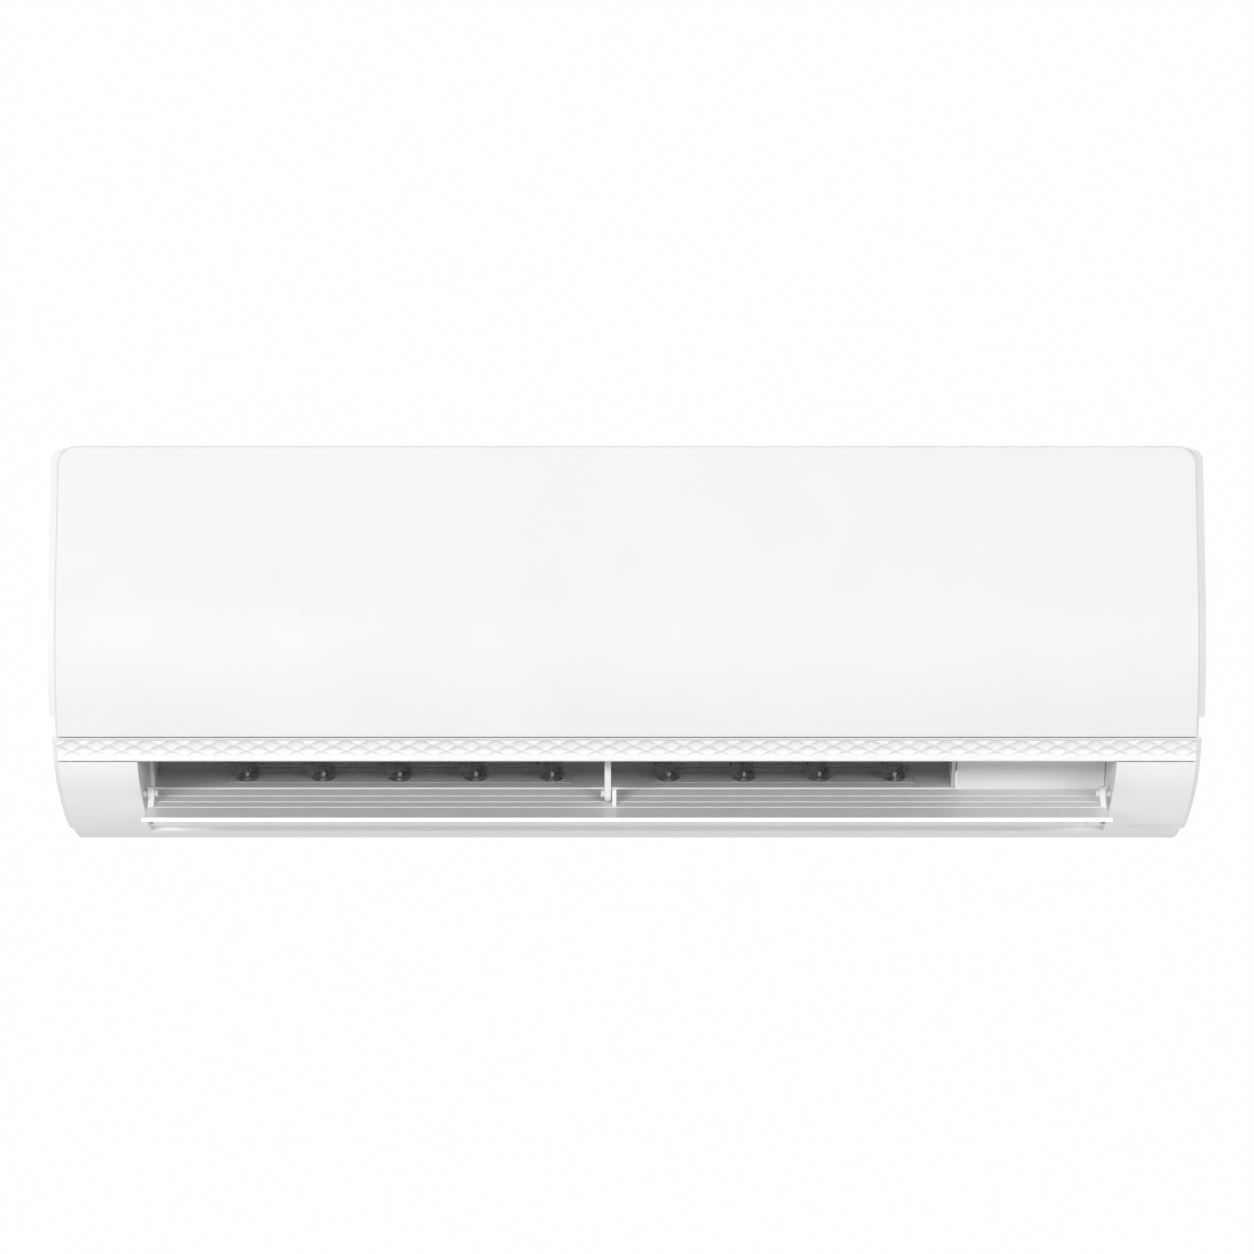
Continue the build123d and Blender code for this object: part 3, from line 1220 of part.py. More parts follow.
board_x = box_left + box_wall + board_gap
board_middle = ((box_front + box_back) / 2, (box_foot + box_head) / 2)
capacitor_radius = 6.0
capacitor_height = 22.0
with BuildPart() as control_board:
    with Locations((board_x + board_thickness / 2, *board_middle)):
        Box(board_thickness, board_length, inner_height)
    top_face = board_x + board_thickness
    # place on the board, height over it, length and width of the larger components
    components = (
        (18.0, 16.0, 22.0, 20.0, 34.0), (-24.0, 40.0, 16.0, 16.0, 28.0), (-28.0, 12.0, 12.0, 20.0, 16.0),
        (26.0, -20.0, 15.0, 28.0, 20.0), (-10.0, -38.0, 9.0, 30.0, 12.0), (20.0, 46.0, 12.0, 30.0, 14.0),
    )
    for y, z, height, length, width in components:
        with Locations((top_face + height / 2, board_middle[0] + y, board_middle[1] + z)):
            Box(height, length, width)
    for step in (-3.3, -2.15):
        y = board_middle[0] + 2 * step * capacitor_radius
        place = (y, board_middle[1] - 2 * capacitor_radius)
        extrude(side_disk(*place, capacitor_radius, top_face), amount=capacitor_height)
save(control_board, "control_board")

block_length = 58.0
block_width = 22.0
block_height = 20.0
block_poles = 4
block_well = 8.0              # depth of the wells that hold the screws
block_bar = 3.0               # bars round the wells
block_screw = 3.2             # radius
block_x = box_right - box_wall - seat_gap - block_width / 2
block_middle = (board_middle[0] - block_height, box_foot + 34.0)
with BuildPart() as terminal_block:
    with Locations((block_x, *block_middle)):
        Box(block_width, block_length, block_height)
    for step in range(block_poles):
        y = block_middle[0] - block_length / 2 + block_length * (step + 0.5) / block_poles
        with Locations((block_x - (block_width - block_well) / 2 - 1, y, block_middle[1])):
            well_length = block_length / block_poles - block_bar
            Box(block_well + 2, well_length, block_height - 2 * block_bar, mode=Mode.SUBTRACT)
        well_floor = block_x - block_width / 2 + block_well
        extrude(side_disk(y, block_middle[1], block_screw, well_floor), amount=-block_well / 2)
save(terminal_block, "terminal_block")

# receiver window, flush in the chin, with a rim inside, and its small board
window_rim = 2.0
window_rim_thickness = 1.2
with BuildPart() as receiver_window:
    with BuildSketch(window_plane):
        SlotOverall(window_length, window_width)
    extrude(amount=wall + window_gap)
    with BuildSketch(window_plane.offset(wall + window_gap)):
        SlotOverall(window_length + 2 * window_rim, window_width + 2 * window_rim)
    extrude(amount=window_rim_thickness)
save(receiver_window, "receiver_window")

receiver_gap = 0.3
with BuildPart() as receiver_board:
    with BuildSketch(window_plane.offset(wall + window_gap + window_rim_thickness + receiver_gap)):
        Rectangle(window_length - 4, window_width - 2)
    extrude(amount=5)
    with BuildSketch(window_plane.offset(wall + window_gap + window_rim_thickness + receiver_gap + 5)):
        Rectangle(window_length + 4, window_width + 4)
    extrude(amount=board_thickness)
save(receiver_board, "receiver_board")

# emergency button behind the panel: cap through the casing wall, guided by its holder
casing_skin_y = behind(panel_depth + panel_gap)
button_rear = casing_skin_y + wall + 9.0
holder_front_y = casing_skin_y + wall + seat_gap
with BuildPart() as emergency_button:
    with BuildSketch(Plane.XZ.offset(-casing_skin_y + button_proud)):
        with Locations((button_x, crest)):
            Circle(button_radius)
    extrude(amount=-(button_rear - casing_skin_y + button_proud))
    fillet(emergency_button.faces().sort_by(Axis.Y)[0].edges(), 0.8)
save(emergency_button, "emergency_button")

with BuildPart() as button_holder:
    length = button_rear + button_travel + 1.0 + wall - holder_front_y
    with Locations((button_x, holder_front_y + length / 2, crest)):
        Box(20, length, 16)
    with BuildSketch(Plane.XZ.offset(-holder_front_y + 1)):
        with Locations((button_x, crest)):
            Circle(button_radius + pin_clearance)
    extrude(amount=-(length + 1 - wall), mode=Mode.SUBTRACT)
save(button_holder, "button_holder")

# screw caps on the outlet's lower lip
cap_x = (-105.6, 114.4)
cap_in = 137.0
cap_place = belly_point(rebate_depth, behind(cap_in))
cap_normal = Vector(0, belly_centre[0] - cap_place[0], belly_centre[1] - cap_place[1]).normalized()
cap_proud = 1.1
with BuildPart() as screw_caps:
    for x in cap_x:
        cap_plane = Plane(origin=(x, *cap_place), x_dir=(1, 0, 0), z_dir=cap_normal)
        with BuildSketch(cap_plane.offset(-cap_proud)):
            Trapezoid(13.6, 15.0, 76)
            fillet(vertices(), 1.6)
        extrude(amount=cap_proud)
save(screw_caps, "screw_caps")

# ---------------------------------------------------------------- wall plate and pipes
hook_depth = -back_wall + 3.0
with BuildPart() as wall_plate:
    with BuildSketch(Plane.XZ):
        with Locations((0, (plate_top + plate_bottom) / 2)):
            RectangleRounded(2 * plate_half_width, plate_top - plate_bottom, 12)
        with Locations((0, plate_middle)):
            with GridLocations(plate_window_pitch, 1, 4, 1):
                RectangleRounded(plate_window_width, plate_window_height, 8, mode=Mode.SUBTRACT)
            with GridLocations(plate_hole_spacing, plate_hole_rise, 2, 2):
                Circle(plate_hole_radius, mode=Mode.SUBTRACT)
        with Locations((0, plate_top - plate_slot_down)):
            with GridLocations(plate_slot_pitch, 1, 4, 1):
                SlotOverall(plate_slot_length, 2 * plate_hole_radius, mode=Mode.SUBTRACT)
        for x in (-hook_x, hook_x):
            with Locations((x, plate_top - hook_thickness)):
                Rectangle(2 * hook_half_width + 3, 2 * (plate_top - hook_seat), mode=Mode.SUBTRACT)
    extrude(amount=plate_thickness)
    for x in (-hook_x, hook_x):
        with Locations((x, -hook_depth / 2, hook_seat - hook_thickness / 2)):
            Box(2 * hook_half_width, hook_depth, hook_thickness)
        with Locations((x, -hook_depth + hook_thickness / 2, hook_seat + 3.0)):
            Box(2 * hook_half_width, hook_thickness, 9.0)
save(wall_plate, "wall_plate")

pipe_start = coil_right + coil_plate + 0.3
pipe_box_gap = 1.05
suction_x = box_left - suction_radius - pipe_box_gap
liquid_x = suction_x - 10.0
pipe_end_in = 85.0            # pipe ends, in from the face's left end
pipe_end = -face_half_width + pipe_end_in
nut_back = 16.0
nut_front = 4.0
suction_line = (-26.0, -122.0)
liquid_line = (-52.0, -122.0)
suction_root = tube_rows(*coil_sections[0])[1][0]
liquid_root = tube_rows(*coil_sections[0])[0][0]


def make_pipe(points, radius, bend):
    """Bent copper pipe along a route of straight runs."""
    with BuildPart() as pipe:
        with BuildLine() as route:
            FilletPolyline(*points, radius=bend)
        with BuildSketch(Plane(origin=points[0], z_dir=Vector(*points[1]) - Vector(*points[0]))):
            Circle(radius)
        sweep()
    return pipe


def make_nut(line, radius, across):
    """Flare nut on the end of a pipe."""
    with BuildPart() as nut:
        with BuildSketch(Plane.YZ.offset(pipe_end - nut_front)):
            with Locations(line):
                RegularPolygon(across / 2, 6, major_radius=False)
                Circle(radius + pin_clearance, mode=Mode.SUBTRACT)
        extrude(amount=nut_back + nut_front)
        chamfer(nut.faces().sort_by(Axis.X)[-1].edges().filter_by(GeomType.LINE), 1.2)
    return nut


front_root = min(suction_root, liquid_root)
rear_root = max(suction_root, liquid_root)
suction_route = [
    (pipe_start, *front_root), (suction_x, *front_root), (suction_x, suction_line[0], front_root[1]),
    (suction_x, *suction_line), (pipe_end, *suction_line),
]
liquid_route = [
    (pipe_start, *rear_root), (liquid_x, *rear_root), (liquid_x, liquid_line[0], rear_root[1]),
    (liquid_x, *liquid_line), (pipe_end, *liquid_line),
]
save(make_pipe(suction_route, suction_radius, [13.0, 20.0, 16.0]), "suction_pipe")
save(make_pipe(liquid_route, liquid_radius, [4.8, 12.0, 10.0]), "liquid_pipe")
save(make_nut(suction_line, suction_radius, 24.0), "flare_nut_suction")
save(make_nut(liquid_line, liquid_radius, 17.0), "flare_nut_liquid")

retainer_y = back_wall + back_wall_thickness + seat_gap
retainer_x = (-230.0, 60.0)
retainer_width = 50.0
retainer_thickness = 2.5
retainer_head = chassis_foot + 8.0
retainer_foot = bottom + 5.5
with BuildPart() as pipe_retainer:
    for x in retainer_x:
        with Locations((x, retainer_y + retainer_thickness / 2, (retainer_head + retainer_foot) / 2)):
            Box(retainer_width, retainer_thickness, retainer_head - retainer_foot)
save(pipe_retainer, "pipe_retainer")

with BuildPart() as drain_spigot:
    extrude(side_disk(*spigot_place, spigot_radius, -pan_half_width - spigot_length), amount=spigot_length)
    extrude(side_disk(*spigot_place, spigot_radius + 3, -pan_half_width - 2.0), amount=2.0)
    bore = side_disk(*spigot_place, spigot_bore, -pan_half_width - spigot_length - 1)
    extrude(bore, amount=spigot_length + 2, mode=Mode.SUBTRACT)
save(drain_spigot, "drain_spigot")
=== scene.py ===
import json
from math import cos, pi, radians, sin

import bpy
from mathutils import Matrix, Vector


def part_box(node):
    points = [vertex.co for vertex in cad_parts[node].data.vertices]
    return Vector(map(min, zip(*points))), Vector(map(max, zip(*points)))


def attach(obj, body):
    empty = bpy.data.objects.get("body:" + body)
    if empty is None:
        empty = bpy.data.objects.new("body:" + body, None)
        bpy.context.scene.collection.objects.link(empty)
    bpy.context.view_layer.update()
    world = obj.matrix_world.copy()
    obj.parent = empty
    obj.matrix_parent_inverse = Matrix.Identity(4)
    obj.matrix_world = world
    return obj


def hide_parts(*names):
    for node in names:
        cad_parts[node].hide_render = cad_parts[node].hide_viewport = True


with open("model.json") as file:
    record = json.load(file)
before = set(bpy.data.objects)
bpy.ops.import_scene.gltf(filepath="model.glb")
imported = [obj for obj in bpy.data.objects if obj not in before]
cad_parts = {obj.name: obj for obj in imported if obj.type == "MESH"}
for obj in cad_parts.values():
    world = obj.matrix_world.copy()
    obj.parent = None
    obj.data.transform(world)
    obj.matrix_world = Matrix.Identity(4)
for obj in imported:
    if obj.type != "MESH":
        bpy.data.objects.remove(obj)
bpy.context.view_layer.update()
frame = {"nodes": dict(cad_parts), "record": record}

# Looks of a mini split indoor unit. Metres, in the frame of the CAD model: +X right seen from the
# front, the front looks along -Y, the wall is the plane y = 0.

MM = 0.001


# ---------------------------------------------------------------- node helpers
class Finish:
    """A material under construction: its shader, its object coordinates and short node makers."""

    def __init__(self, name):
        self.material = bpy.data.materials.new(name)
        self.material.use_nodes = True
        self.nodes = self.material.node_tree.nodes
        self.links = self.material.node_tree.links
        self.nodes.clear()
        self.shader = self.nodes.new("ShaderNodeBsdfPrincipled")
        output = self.nodes.new("ShaderNodeOutputMaterial")
        self.links.new(self.shader.outputs["BSDF"], output.inputs["Surface"])
        coordinates = self.nodes.new("ShaderNodeTexCoord")
        self.place = coordinates.outputs["Object"]

    def set(self, **values):
        """Uniform values on the shader's own sockets; _ stands for a space."""
        for key, value in values.items():
            self.shader.inputs[key.replace("_", " ")].default_value = value

    def stretched(self, scale):
        """Object coordinates scaled by three factors."""
        mapping = self.nodes.new("ShaderNodeMapping")
        mapping.inputs["Scale"].default_value = scale
        self.links.new(self.place, mapping.inputs["Vector"])
        return mapping.outputs["Vector"]

    def noise(self, size, detail=4.0, vector=None):
        """Noise whose features are about size metres across."""
        node = self.nodes.new("ShaderNodeTexNoise")
        node.inputs["Scale"].default_value = 1.0 / size
        node.inputs["Detail"].default_value = detail
        node.inputs["Roughness"].default_value = 0.55
        self.links.new(vector or self.place, node.inputs["Vector"])
        return node.outputs["Fac"]

    def cells(self, size, feature="F1"):
        """Voronoi cells about size metres across."""
        node = self.nodes.new("ShaderNodeTexVoronoi")
        node.feature = feature
        node.inputs["Scale"].default_value = 1.0 / size
        self.links.new(self.place, node.inputs["Vector"])
        return node

    def bands(self, pitch, axis):
        """Straight bands across an axis, one every pitch metres."""
        node = self.nodes.new("ShaderNodeTexWave")
        node.wave_type = "BANDS"
        node.bands_direction = axis
        node.wave_profile = "SIN"
        node.inputs["Scale"].default_value = pi / 10 / pitch
        node.inputs["Distortion"].default_value = 0.0
        self.links.new(self.place, node.inputs["Vector"])
        return node.outputs["Fac"]

    def ranged(self, value, low, high, start=0.0, end=1.0):
        """A value mapped from start..end to low..high."""
        node = self.nodes.new("ShaderNodeMapRange")
        node.inputs["From Min"].default_value = start
        node.inputs["From Max"].default_value = end
        node.inputs["To Min"].default_value = low
        node.inputs["To Max"].default_value = high
        self.links.new(value, node.inputs["Value"])
        return node.outputs["Result"]

    def maths(self, operation, a, b):
        """Result of a math operation on two values, or on a value and a number."""
        node = self.nodes.new("ShaderNodeMath")
        node.operation = operation
        self.links.new(a, node.inputs[0])
        if isinstance(b, (int, float)):
            node.inputs[1].default_value = b
        else:
            self.links.new(b, node.inputs[1])
        return node.outputs[0]

    def mixed(self, factor, a, b):
        """Colour that runs from a to b; each is three numbers or a colour output."""
        node = self.nodes.new("ShaderNodeMix")
        node.data_type = "RGBA"
        self.links.new(factor, node.inputs["Factor"])
        for socket, value in ((node.inputs[6], a), (node.inputs[7], b)):
            if isinstance(value, (tuple, list)):
                socket.default_value = (*value, 1.0)
            else:
                self.links.new(value, socket)
        return node.outputs[2]

    def colour(self, output):
        """Base colour from a node output."""
        self.links.new(output, self.shader.inputs["Base Color"])

    def roughness(self, output):
        """Roughness from a node output."""
        self.links.new(output, self.shader.inputs["Roughness"])

    def bump(self, height, depth):
        """Surface relief of depth metres."""
        node = self.nodes.new("ShaderNodeBump")
        node.inputs["Distance"].default_value = depth
        node.inputs["Strength"].default_value = 1.0
        self.links.new(height, node.inputs["Height"])
        self.links.new(node.outputs["Normal"], self.shader.inputs["Normal"])


def shade(colour, factor):
    """Colour made lighter or darker by a factor."""
    return tuple(min(1.0, c * factor) for c in colour)


# ---------------------------------------------------------------- finishes
def moulded(name, colour, rough=0.42, grain=0.0009, relief=0.00002, spread=0.015, gloss=0.45):
    """Moulded plastic: faint clouding, uneven sheen and a fine moulded grain."""
    f = Finish(name)
    cloud = f.noise(0.09, 3.0)
    share = f.ranged(cloud, 0.0, 1.0, 0.3, 0.7)
    f.colour(f.mixed(share, shade(colour, 1 - spread), shade(colour, 1 + spread)))
    f.roughness(f.ranged(f.noise(0.02, 5.0), rough - 0.05, rough + 0.06, 0.3, 0.7))
    f.bump(f.noise(grain, 2.0), relief)
    f.set(Specular_IOR_Level=gloss)
    return f.material


def smoky(name):
    """Clear grey vane plastic with flow lines."""
    f = Finish(name)
    flow = f.noise(0.006, 4.0, vector=f.stretched((1.0, 1.0, 0.25)))
    f.colour(f.mixed(f.ranged(flow, 0.0, 1.0, 0.35, 0.65), (0.60, 0.605, 0.615), (0.82, 0.825, 0.84)))
    f.roughness(f.ranged(f.noise(0.004, 4.0), 0.03, 0.10, 0.3, 0.7))
    f.bump(f.noise(0.0025, 3.0), 0.00005)
    f.set(Transmission_Weight=0.92, IOR=1.45, Specular_IOR_Level=0.6)
    return f.material


def brushed(name, colour, rough=0.34, along=(0.03, 1.0, 1.0), grain=0.0006):
    """Drawn or brushed metal with streaks along one axis."""
    f = Finish(name)
    streaks = f.noise(grain, 4.0, vector=f.stretched(along))
    cloud = f.noise(0.03, 4.0)
    base = f.mixed(f.ranged(streaks, 0.0, 1.0, 0.3, 0.7), shade(colour, 0.88), shade(colour, 1.08))
    f.colour(f.mixed(f.ranged(cloud, 0.0, 0.35, 0.4, 0.8), base, shade(colour, 0.72)))
    f.roughness(f.ranged(streaks, rough - 0.07, rough + 0.10, 0.3, 0.7))
    f.bump(streaks, 0.00003)
    f.set(Metallic=1.0)
    return f.material


def galvanised(name):
    """Zinc coated sheet with its spangle."""
    f = Finish(name)
    spangle = f.cells(0.011)
    tone = f.ranged(f.maths("FRACT", spangle.outputs["Distance"], 1.0), 0.0, 1.0, 0.0, 0.8)
    f.colour(f.mixed(tone, (0.50, 0.52, 0.53), (0.68, 0.70, 0.71)))
    f.roughness(f.ranged(f.noise(0.006, 4.0), 0.34, 0.52, 0.3, 0.7))
    f.bump(spangle.outputs["Distance"], 0.00004)
    f.set(Metallic=0.9)
    return f.material


def finned(name):
    """Stack of thin aluminium fins across X with blue-grey coating, with painted shade in the gaps between
    the fins.
    """
    f = Finish(name)
    fins = f.bands(0.0018, "X")
    cloud = f.noise(0.04, 4.0)
    light = f.mixed(f.ranged(cloud, 0.0, 1.0, 0.3, 0.7), (0.62, 0.66, 0.70), (0.74, 0.78, 0.82))
    # painted shade: the near-black bands between the fins stand in for the shade in the gaps of the coil
    f.colour(f.mixed(f.ranged(fins, 0.0, 1.0, 0.15, 0.55), (0.05, 0.055, 0.06), light))
    f.roughness(f.ranged(fins, 0.7, 0.32))
    f.bump(fins, 0.0008)
    f.set(Metallic=0.7)
    return f.material


def meshed(name, colour):
    """Fine woven filter mesh held in a moulded frame, with painted shade in the openings between the threads.
    """
    f = Finish(name)
    threads = f.maths("MAXIMUM", f.bands(0.0014, "X"), f.bands(0.0014, "Z"))
    # painted shade: the openings between the threads are darkened to stand in for the shade seen through the
    # mesh
    f.colour(f.mixed(f.ranged(threads, 0.0, 1.0, 0.45, 0.9), shade(colour, 0.22), shade(colour, 1.15)))
    f.roughness(f.ranged(f.noise(0.01, 4.0), 0.45, 0.62, 0.3, 0.7))
    f.bump(threads, 0.0003)
    return f.material


def circuit(name):
    """Green lacquered board; what stands on it is dark, beige or blue."""
    f = Finish(name)
    tracks = f.cells(0.006, "DISTANCE_TO_EDGE")
    between = f.ranged(tracks.outputs["Distance"], 0.0, 1.0, 0.04, 0.09)
    board = f.mixed(between, (0.12, 0.36, 0.18), (0.03, 0.17, 0.07))
    parts = f.cells(0.034)
    f.colour(f.mixed(f.ranged(f.noise(0.05, 1.0), 0.0, 1.0, 0.56, 0.60), board, parts.outputs["Color"]))
    f.roughness(f.ranged(f.noise(0.006, 3.0), 0.22, 0.42, 0.3, 0.7))
    f.bump(tracks.outputs["Distance"], 0.0001)
    return f.material


def rubbery(name, colour):
    """Soft rubber with a dusty bloom."""
    f = Finish(name)
    f.colour(f.mixed(f.ranged(f.noise(0.008, 4.0), 0.0, 1.0, 0.3, 0.7), colour, shade(colour, 1.8)))
    f.roughness(f.ranged(f.noise(0.003, 4.0), 0.62, 0.82, 0.3, 0.7))
    f.bump(f.noise(0.0006, 3.0), 0.00004)
    return f.material


PANEL_WHITE = (0.745, 0.745, 0.743)
STRIP_WHITE = (0.79, 0.79, 0.788)
# painted light: the louver is the panel's white plastic made lighter, standing in for light inside the outlet
LOUVER_PAINTED_LIGHT_WHITE = (0.95, 0.95, 0.948)
CASING_WHITE = (0.87, 0.87, 0.868)
CHASSIS_WHITE = (0.82, 0.82, 0.818)
STEEL_BLACK = (0.055, 0.056, 0.058)
GRAIN_FINE = 0.000006         # relief of the smooth outer pieces
# one finish for each material slot of the record, and one for the louver alone: a lighter copy of the panel's
# white plastic, painted light for the outlet where little light reaches
FINISHES = {
    "white_plastic": moulded("white_plastic", PANEL_WHITE, rough=0.50, relief=GRAIN_FINE, gloss=0.3),
    "louver": moulded("louver_painted_light_plastic", LOUVER_PAINTED_LIGHT_WHITE, rough=0.32, relief=GRAIN_FINE),
    "casing_plastic": moulded("casing_plastic", CASING_WHITE, rough=0.44, relief=0.000012),
    "strip_plastic": moulded("strip_plastic", STRIP_WHITE, rough=0.34, relief=0.000004, gloss=0.5),
    "pan_plastic": moulded("pan_plastic", (0.70, 0.70, 0.69), rough=0.62, grain=0.003, relief=0.00012),
    "outlet_plastic": moulded("outlet_plastic", CASING_WHITE, rough=0.42),
    "chassis_plastic": moulded("chassis_plastic", CHASSIS_WHITE, rough=0.50, relief=0.00004),
    "smoky_plastic": smoky("smoky_plastic"),
    "fan_plastic": moulded("fan_plastic", (0.060, 0.062, 0.066), rough=0.46, relief=0.00003, spread=0.12),
    "bush_rubber": rubbery("bush_rubber", (0.03, 0.03, 0.03)),
    "pin_plastic": moulded("pin_plastic", (0.88, 0.88, 0.87), rough=0.30),
    "shaft_steel": brushed("shaft_steel", (0.58, 0.58, 0.58), along=(1.0, 0.05, 0.05)),
    "motor_steel": moulded("motor_steel", STEEL_BLACK, 0.55, grain=0.0014, relief=0.00006, spread=0.15),
    "small_motor_steel": brushed("small_motor_steel", (0.62, 0.62, 0.60)),
    "fin_aluminium": finned("fin_aluminium"),
    "galvanised_steel": galvanised("galvanised_steel"),
    "copper": brushed("copper", (0.80, 0.42, 0.27), rough=0.30, along=(0.05, 1.0, 1.0), grain=0.0012),
    "nut_brass": brushed("nut_brass", (0.78, 0.60, 0.30), rough=0.28, along=(1.0, 0.1, 0.1)),
    "filter_plastic": meshed("filter_plastic", (0.30, 0.33, 0.36)),
    "box_plastic": moulded("box_plastic", (0.72, 0.72, 0.70), rough=0.5, relief=0.00003),
    "board": circuit("board"),
    "terminal_plastic": moulded("terminal_plastic", (0.05, 0.05, 0.05), rough=0.42, spread=0.1),
    "window_plastic": moulded("window_plastic", (0.80, 0.80, 0.80), rough=0.16, grain=0.004, relief=0.000005),
}


def dress_nodes():
    """Gives every CAD node the finish of its material slot and a small rounding of its edges."""
    slots = {piece["node"]: piece["material_slot"] for piece in frame["record"]["subparts"]}
    sharp = ("coil_fins", "crossflow_fan", "air_filter_left", "air_filter_right", "control_board")
    for name, node in frame["nodes"].items():
        node.data.materials.clear()
        node.data.materials.append(FINISHES.get(name) or FINISHES[slots[name]])
        if name not in sharp:
            bevel = node.modifiers.new("edges", "BEVEL")
            bevel.width = 0.35 * MM
            bevel.segments = 2
            bevel.limit_method = "ANGLE"
            bevel.angle_limit = radians(40)
            bevel.harden_normals = True


# ---------------------------------------------------------------- trim strip
def strip_piece():
    """Trim strip with its relief: staggered rows of hollow lens-shaped cells."""
    low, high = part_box("trim_strip")
    half = high.x
    head, foot = high.z, low.z
    lean = radians(35.0)
    fall = sin(lean) / cos(lean)  # the face runs back by this for each unit down
    thickness = 5.0 * MM / cos(lean)
    front = low.y
    pitch = 18.2 * MM             # cells along the strip
    tip = -13.6 * MM              # place of a tip of the upper row
    row = 4.2 * MM                # rows down the strip, measured upright
    row_tip = head - 5.5 * MM     # height of the upper row's tips
    sink = 2.9 * MM               # deepest point of a cell
    deepest = 0.74                # its height in the cell, from foot to head
    fade_start = head - 9.5 * MM
    fade_end = head - 14.9 * MM
    cells_head = head - 1.3 * MM  # no cell reaches above this
    cells_ease = 0.8 * MM         # and they deepen over this below it
    edge = 0.5 * MM               # rounding of the upper edge
    field_head = head - 1.2 * MM  # the field lies deeper than the edge from here
    field_ease = 1.0 * MM
    field_drop = 0.5 * MM
    lip_head = head - 13.9 * MM   # the face turns upright towards the lower lip from here
    lip_drop = 0.3 * MM
    lip_round = 1.3 * MM
    first_line = 0.05 * MM        # lines of points across the strip, and columns along it
    line = 0.35 * MM
    column = 0.9 * MM

    def face(z):
        """Depth place of the smooth face at a height."""
        slope = front + (head - z) * fall
        lip = front + (head - foot) * fall - lip_drop
        drop = min(1.0, max(0.0, (field_head - z) / field_ease)) * field_drop
        ramp = min(1.0, max(0.0, (head - z) / (head - lip_head)))
        return max(slope + drop, slope + drop + (lip - slope) * ramp ** 2)

    def relief(x, z):
        """Depth of the cells below the smooth face."""
        if z > cells_head or z < fade_end:
            return 0.0
        wave = cos(2 * pi * (x - tip) / pitch)
        number = (row_tip + row / 2 - z) / row
        best = 0.0
        for k in range(int(number) - 2, int(number) + 3):
            upper = row_tip + row / 2 - k * row - (-1) ** k * row / 2 * wave
            lower = row_tip - row / 2 - k * row + (-1) ** k * row / 2 * wave
            if lower < z < upper:
                share = (z - lower) / (upper - lower)
                way = share / deepest if share < deepest else (1 - share) / (1 - deepest)
                best = ((upper - lower) / (2 * row)) ** 0.7 * sin(pi / 2 * way)
        fade = min(1.0, max(0.0, (z - fade_end) / (fade_start - fade_end)))
        ease = min(1.0, (cells_head - z) / cells_ease)
        return sink * best * fade * ease

    lines = int((head - foot - lip_round) / line)
    heights = [head - first_line - n * line for n in range(lines)]
    columns = int(round(2 * half / column))
    verts = []
    faces = []
    arc = [radians(a) for a in (0, 30, 60, 90)]
    lip_y = face(foot + lip_round)
    for i in range(columns + 1):
        x = -half + 2 * half * i / columns
        verts.append((x, front + thickness, head))
        verts.append((x, front + edge, head))
        for z in heights:
            verts.append((x, face(z) + relief(x, z), z))
        for a in arc:
            verts.append((x, lip_y + lip_round * (1 - cos(a)), foot + lip_round * (1 - sin(a))))
        verts.append((x, front + (head - foot) * fall + thickness, foot))
    ring = len(verts) // (columns + 1)
    for i in range(columns):
        for j in range(ring):
            a, b = i * ring + j, i * ring + (j + 1) % ring
            faces.append((a, b, b + ring, a + ring))
    faces.append(tuple(range(ring - 1, -1, -1)))
    faces.append(tuple(range(columns * ring, (columns + 1) * ring)))
    mesh = bpy.data.meshes.new("trim_strip_relief")
    mesh.from_pydata(verts, [], faces)
    mesh.validate()
    for polygon in mesh.polygons:
        polygon.use_smooth = True
    mesh.set_sharp_from_angle(angle=radians(50))
    mesh.materials.append(FINISHES["strip_plastic"])
    piece = bpy.data.objects.new("trim_strip_relief", mesh)
    bpy.context.scene.collection.objects.link(piece)
    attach(piece, "unit")
    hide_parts("trim_strip")


# ---------------------------------------------------------------- stage
# brightness of the studio's walls from straight below (0) to straight above (1)
ROOM = ((0.0, 1.0), (0.17, 0.95), (0.30, 0.62), (0.42, 0.42), (0.50, 0.42), (0.72, 0.40), (0.90, 0.62))
ROOM_STRENGTH = 1.15
BACKDROP = 0.995              # what the camera sees behind the unit
SOFTBOXES = ((-1.7, 74.0), (1.7, 48.0))   # place across in metres, and power
SOFTBOX_FRONT = -4.0
SOFTBOX_HEIGHT = 0.45
SOFTBOX_SIZE = (1.6, 0.5)
FLOOR_HALF = 1.6              # half the floor's width, and its reach to the front
FLOOR_REAR = 0.6
FLOOR_DROP = 1.25


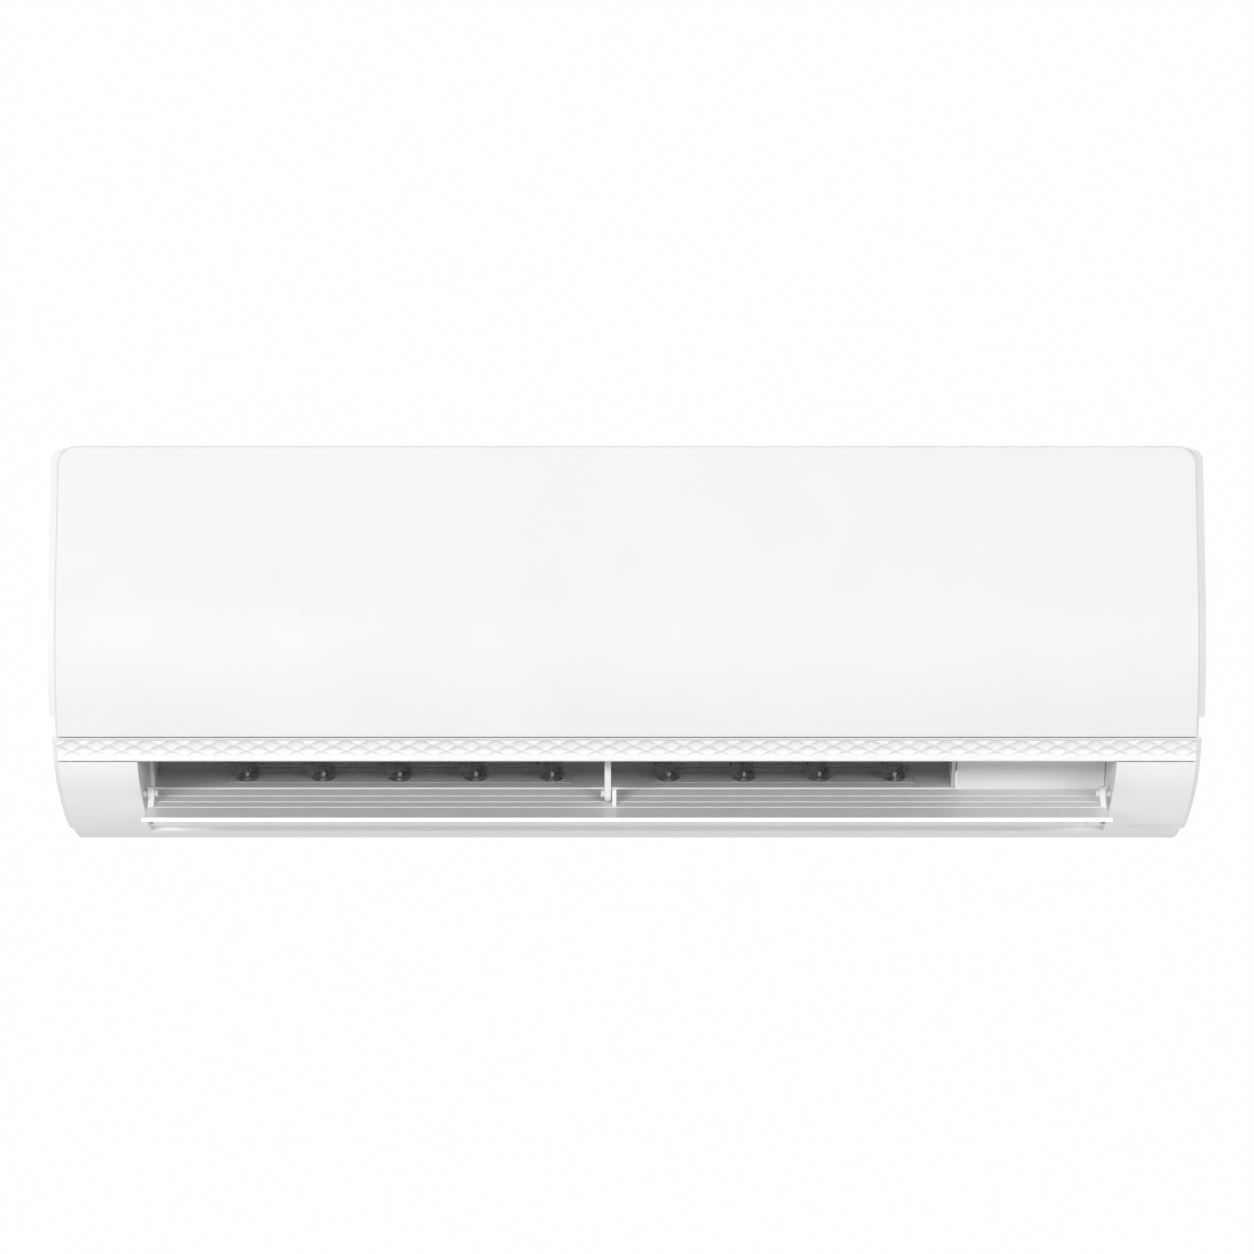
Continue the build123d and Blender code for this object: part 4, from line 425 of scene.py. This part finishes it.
def set_stage():
    """Pale floor below the unit, an even studio and a soft light on both sides of the camera."""
    scene = bpy.context.scene
    scene.view_settings.view_transform = "Standard"
    floor_mesh = bpy.data.meshes.new("floor")
    corners = [
        (-FLOOR_HALF, -FLOOR_HALF, -FLOOR_DROP),
        (FLOOR_HALF, -FLOOR_HALF, -FLOOR_DROP),
        (FLOOR_HALF, FLOOR_REAR, -FLOOR_DROP),
        (-FLOOR_HALF, FLOOR_REAR, -FLOOR_DROP),
    ]
    floor_mesh.from_pydata(corners, [], [(0, 1, 2, 3)])
    floor = bpy.data.objects.new("floor", floor_mesh)
    floor_finish = Finish("floor")
    cloud = floor_finish.noise(0.5)
    floor_finish.colour(floor_finish.mixed(cloud, (0.80, 0.80, 0.80), (0.84, 0.84, 0.84)))
    floor_finish.set(Roughness=0.8)
    floor_mesh.materials.append(floor_finish.material)
    scene.collection.objects.link(floor)

    world = bpy.data.worlds.new("studio")
    world.use_nodes = True
    scene.world = world
    nodes, links = world.node_tree.nodes, world.node_tree.links
    nodes.clear()
    output = nodes.new("ShaderNodeOutputWorld")
    backdrop = nodes.new("ShaderNodeBackground")
    backdrop.inputs["Color"].default_value = (1.0, 1.0, 1.0, 1.0)
    backdrop.inputs["Strength"].default_value = BACKDROP
    room = nodes.new("ShaderNodeBackground")
    coordinates = nodes.new("ShaderNodeTexCoord")
    parts = nodes.new("ShaderNodeSeparateXYZ")
    links.new(coordinates.outputs["Generated"], parts.inputs["Vector"])
    height = nodes.new("ShaderNodeMapRange")
    height.inputs["From Min"].default_value = -1.0
    height.inputs["From Max"].default_value = 1.0
    links.new(parts.outputs["Z"], height.inputs["Value"])
    walls = nodes.new("ShaderNodeValToRGB")
    ramp = walls.color_ramp
    ramp.interpolation = "EASE"
    while len(ramp.elements) < len(ROOM):
        ramp.elements.new(1.0)
    for element, (place, level) in zip(ramp.elements, ROOM):
        element.position = place
        element.color = (level, level, level, 1.0)
    links.new(height.outputs["Result"], walls.inputs["Fac"])
    links.new(walls.outputs["Color"], room.inputs["Color"])
    room.inputs["Strength"].default_value = ROOM_STRENGTH
    mix = nodes.new("ShaderNodeMixShader")
    path = nodes.new("ShaderNodeLightPath")
    links.new(path.outputs["Is Camera Ray"], mix.inputs["Fac"])
    links.new(room.outputs["Background"], mix.inputs[1])
    links.new(backdrop.outputs["Background"], mix.inputs[2])
    links.new(mix.outputs["Shader"], output.inputs["Surface"])

    for across, power in SOFTBOXES:
        softbox = bpy.data.lights.new("softbox", "AREA")
        softbox.shape = "RECTANGLE"
        softbox.size, softbox.size_y = SOFTBOX_SIZE
        softbox.energy = power
        light = bpy.data.objects.new("softbox", softbox)
        light.location = (across, SOFTBOX_FRONT, SOFTBOX_HEIGHT)
        light.rotation_euler = (-light.location).to_track_quat("-Z", "Y").to_euler()
        scene.collection.objects.link(light)


def set_camera():
    """Camera straight ahead, as the photograph was taken."""
    lens_distance = 4.0           # camera to the foremost line of the front
    lens_height = 0.01415
    camera = bpy.data.cameras.new("camera")
    camera.lens = 158.6
    camera.sensor_width = 36.0
    holder = bpy.data.objects.new("camera", camera)
    holder.location = (0.0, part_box("front_panel")[0].y - lens_distance, lens_height)
    holder.rotation_euler = (radians(90), 0, 0)
    bpy.context.scene.collection.objects.link(holder)
    bpy.context.scene.camera = holder


dress_nodes()
strip_piece()
set_stage()
set_camera()
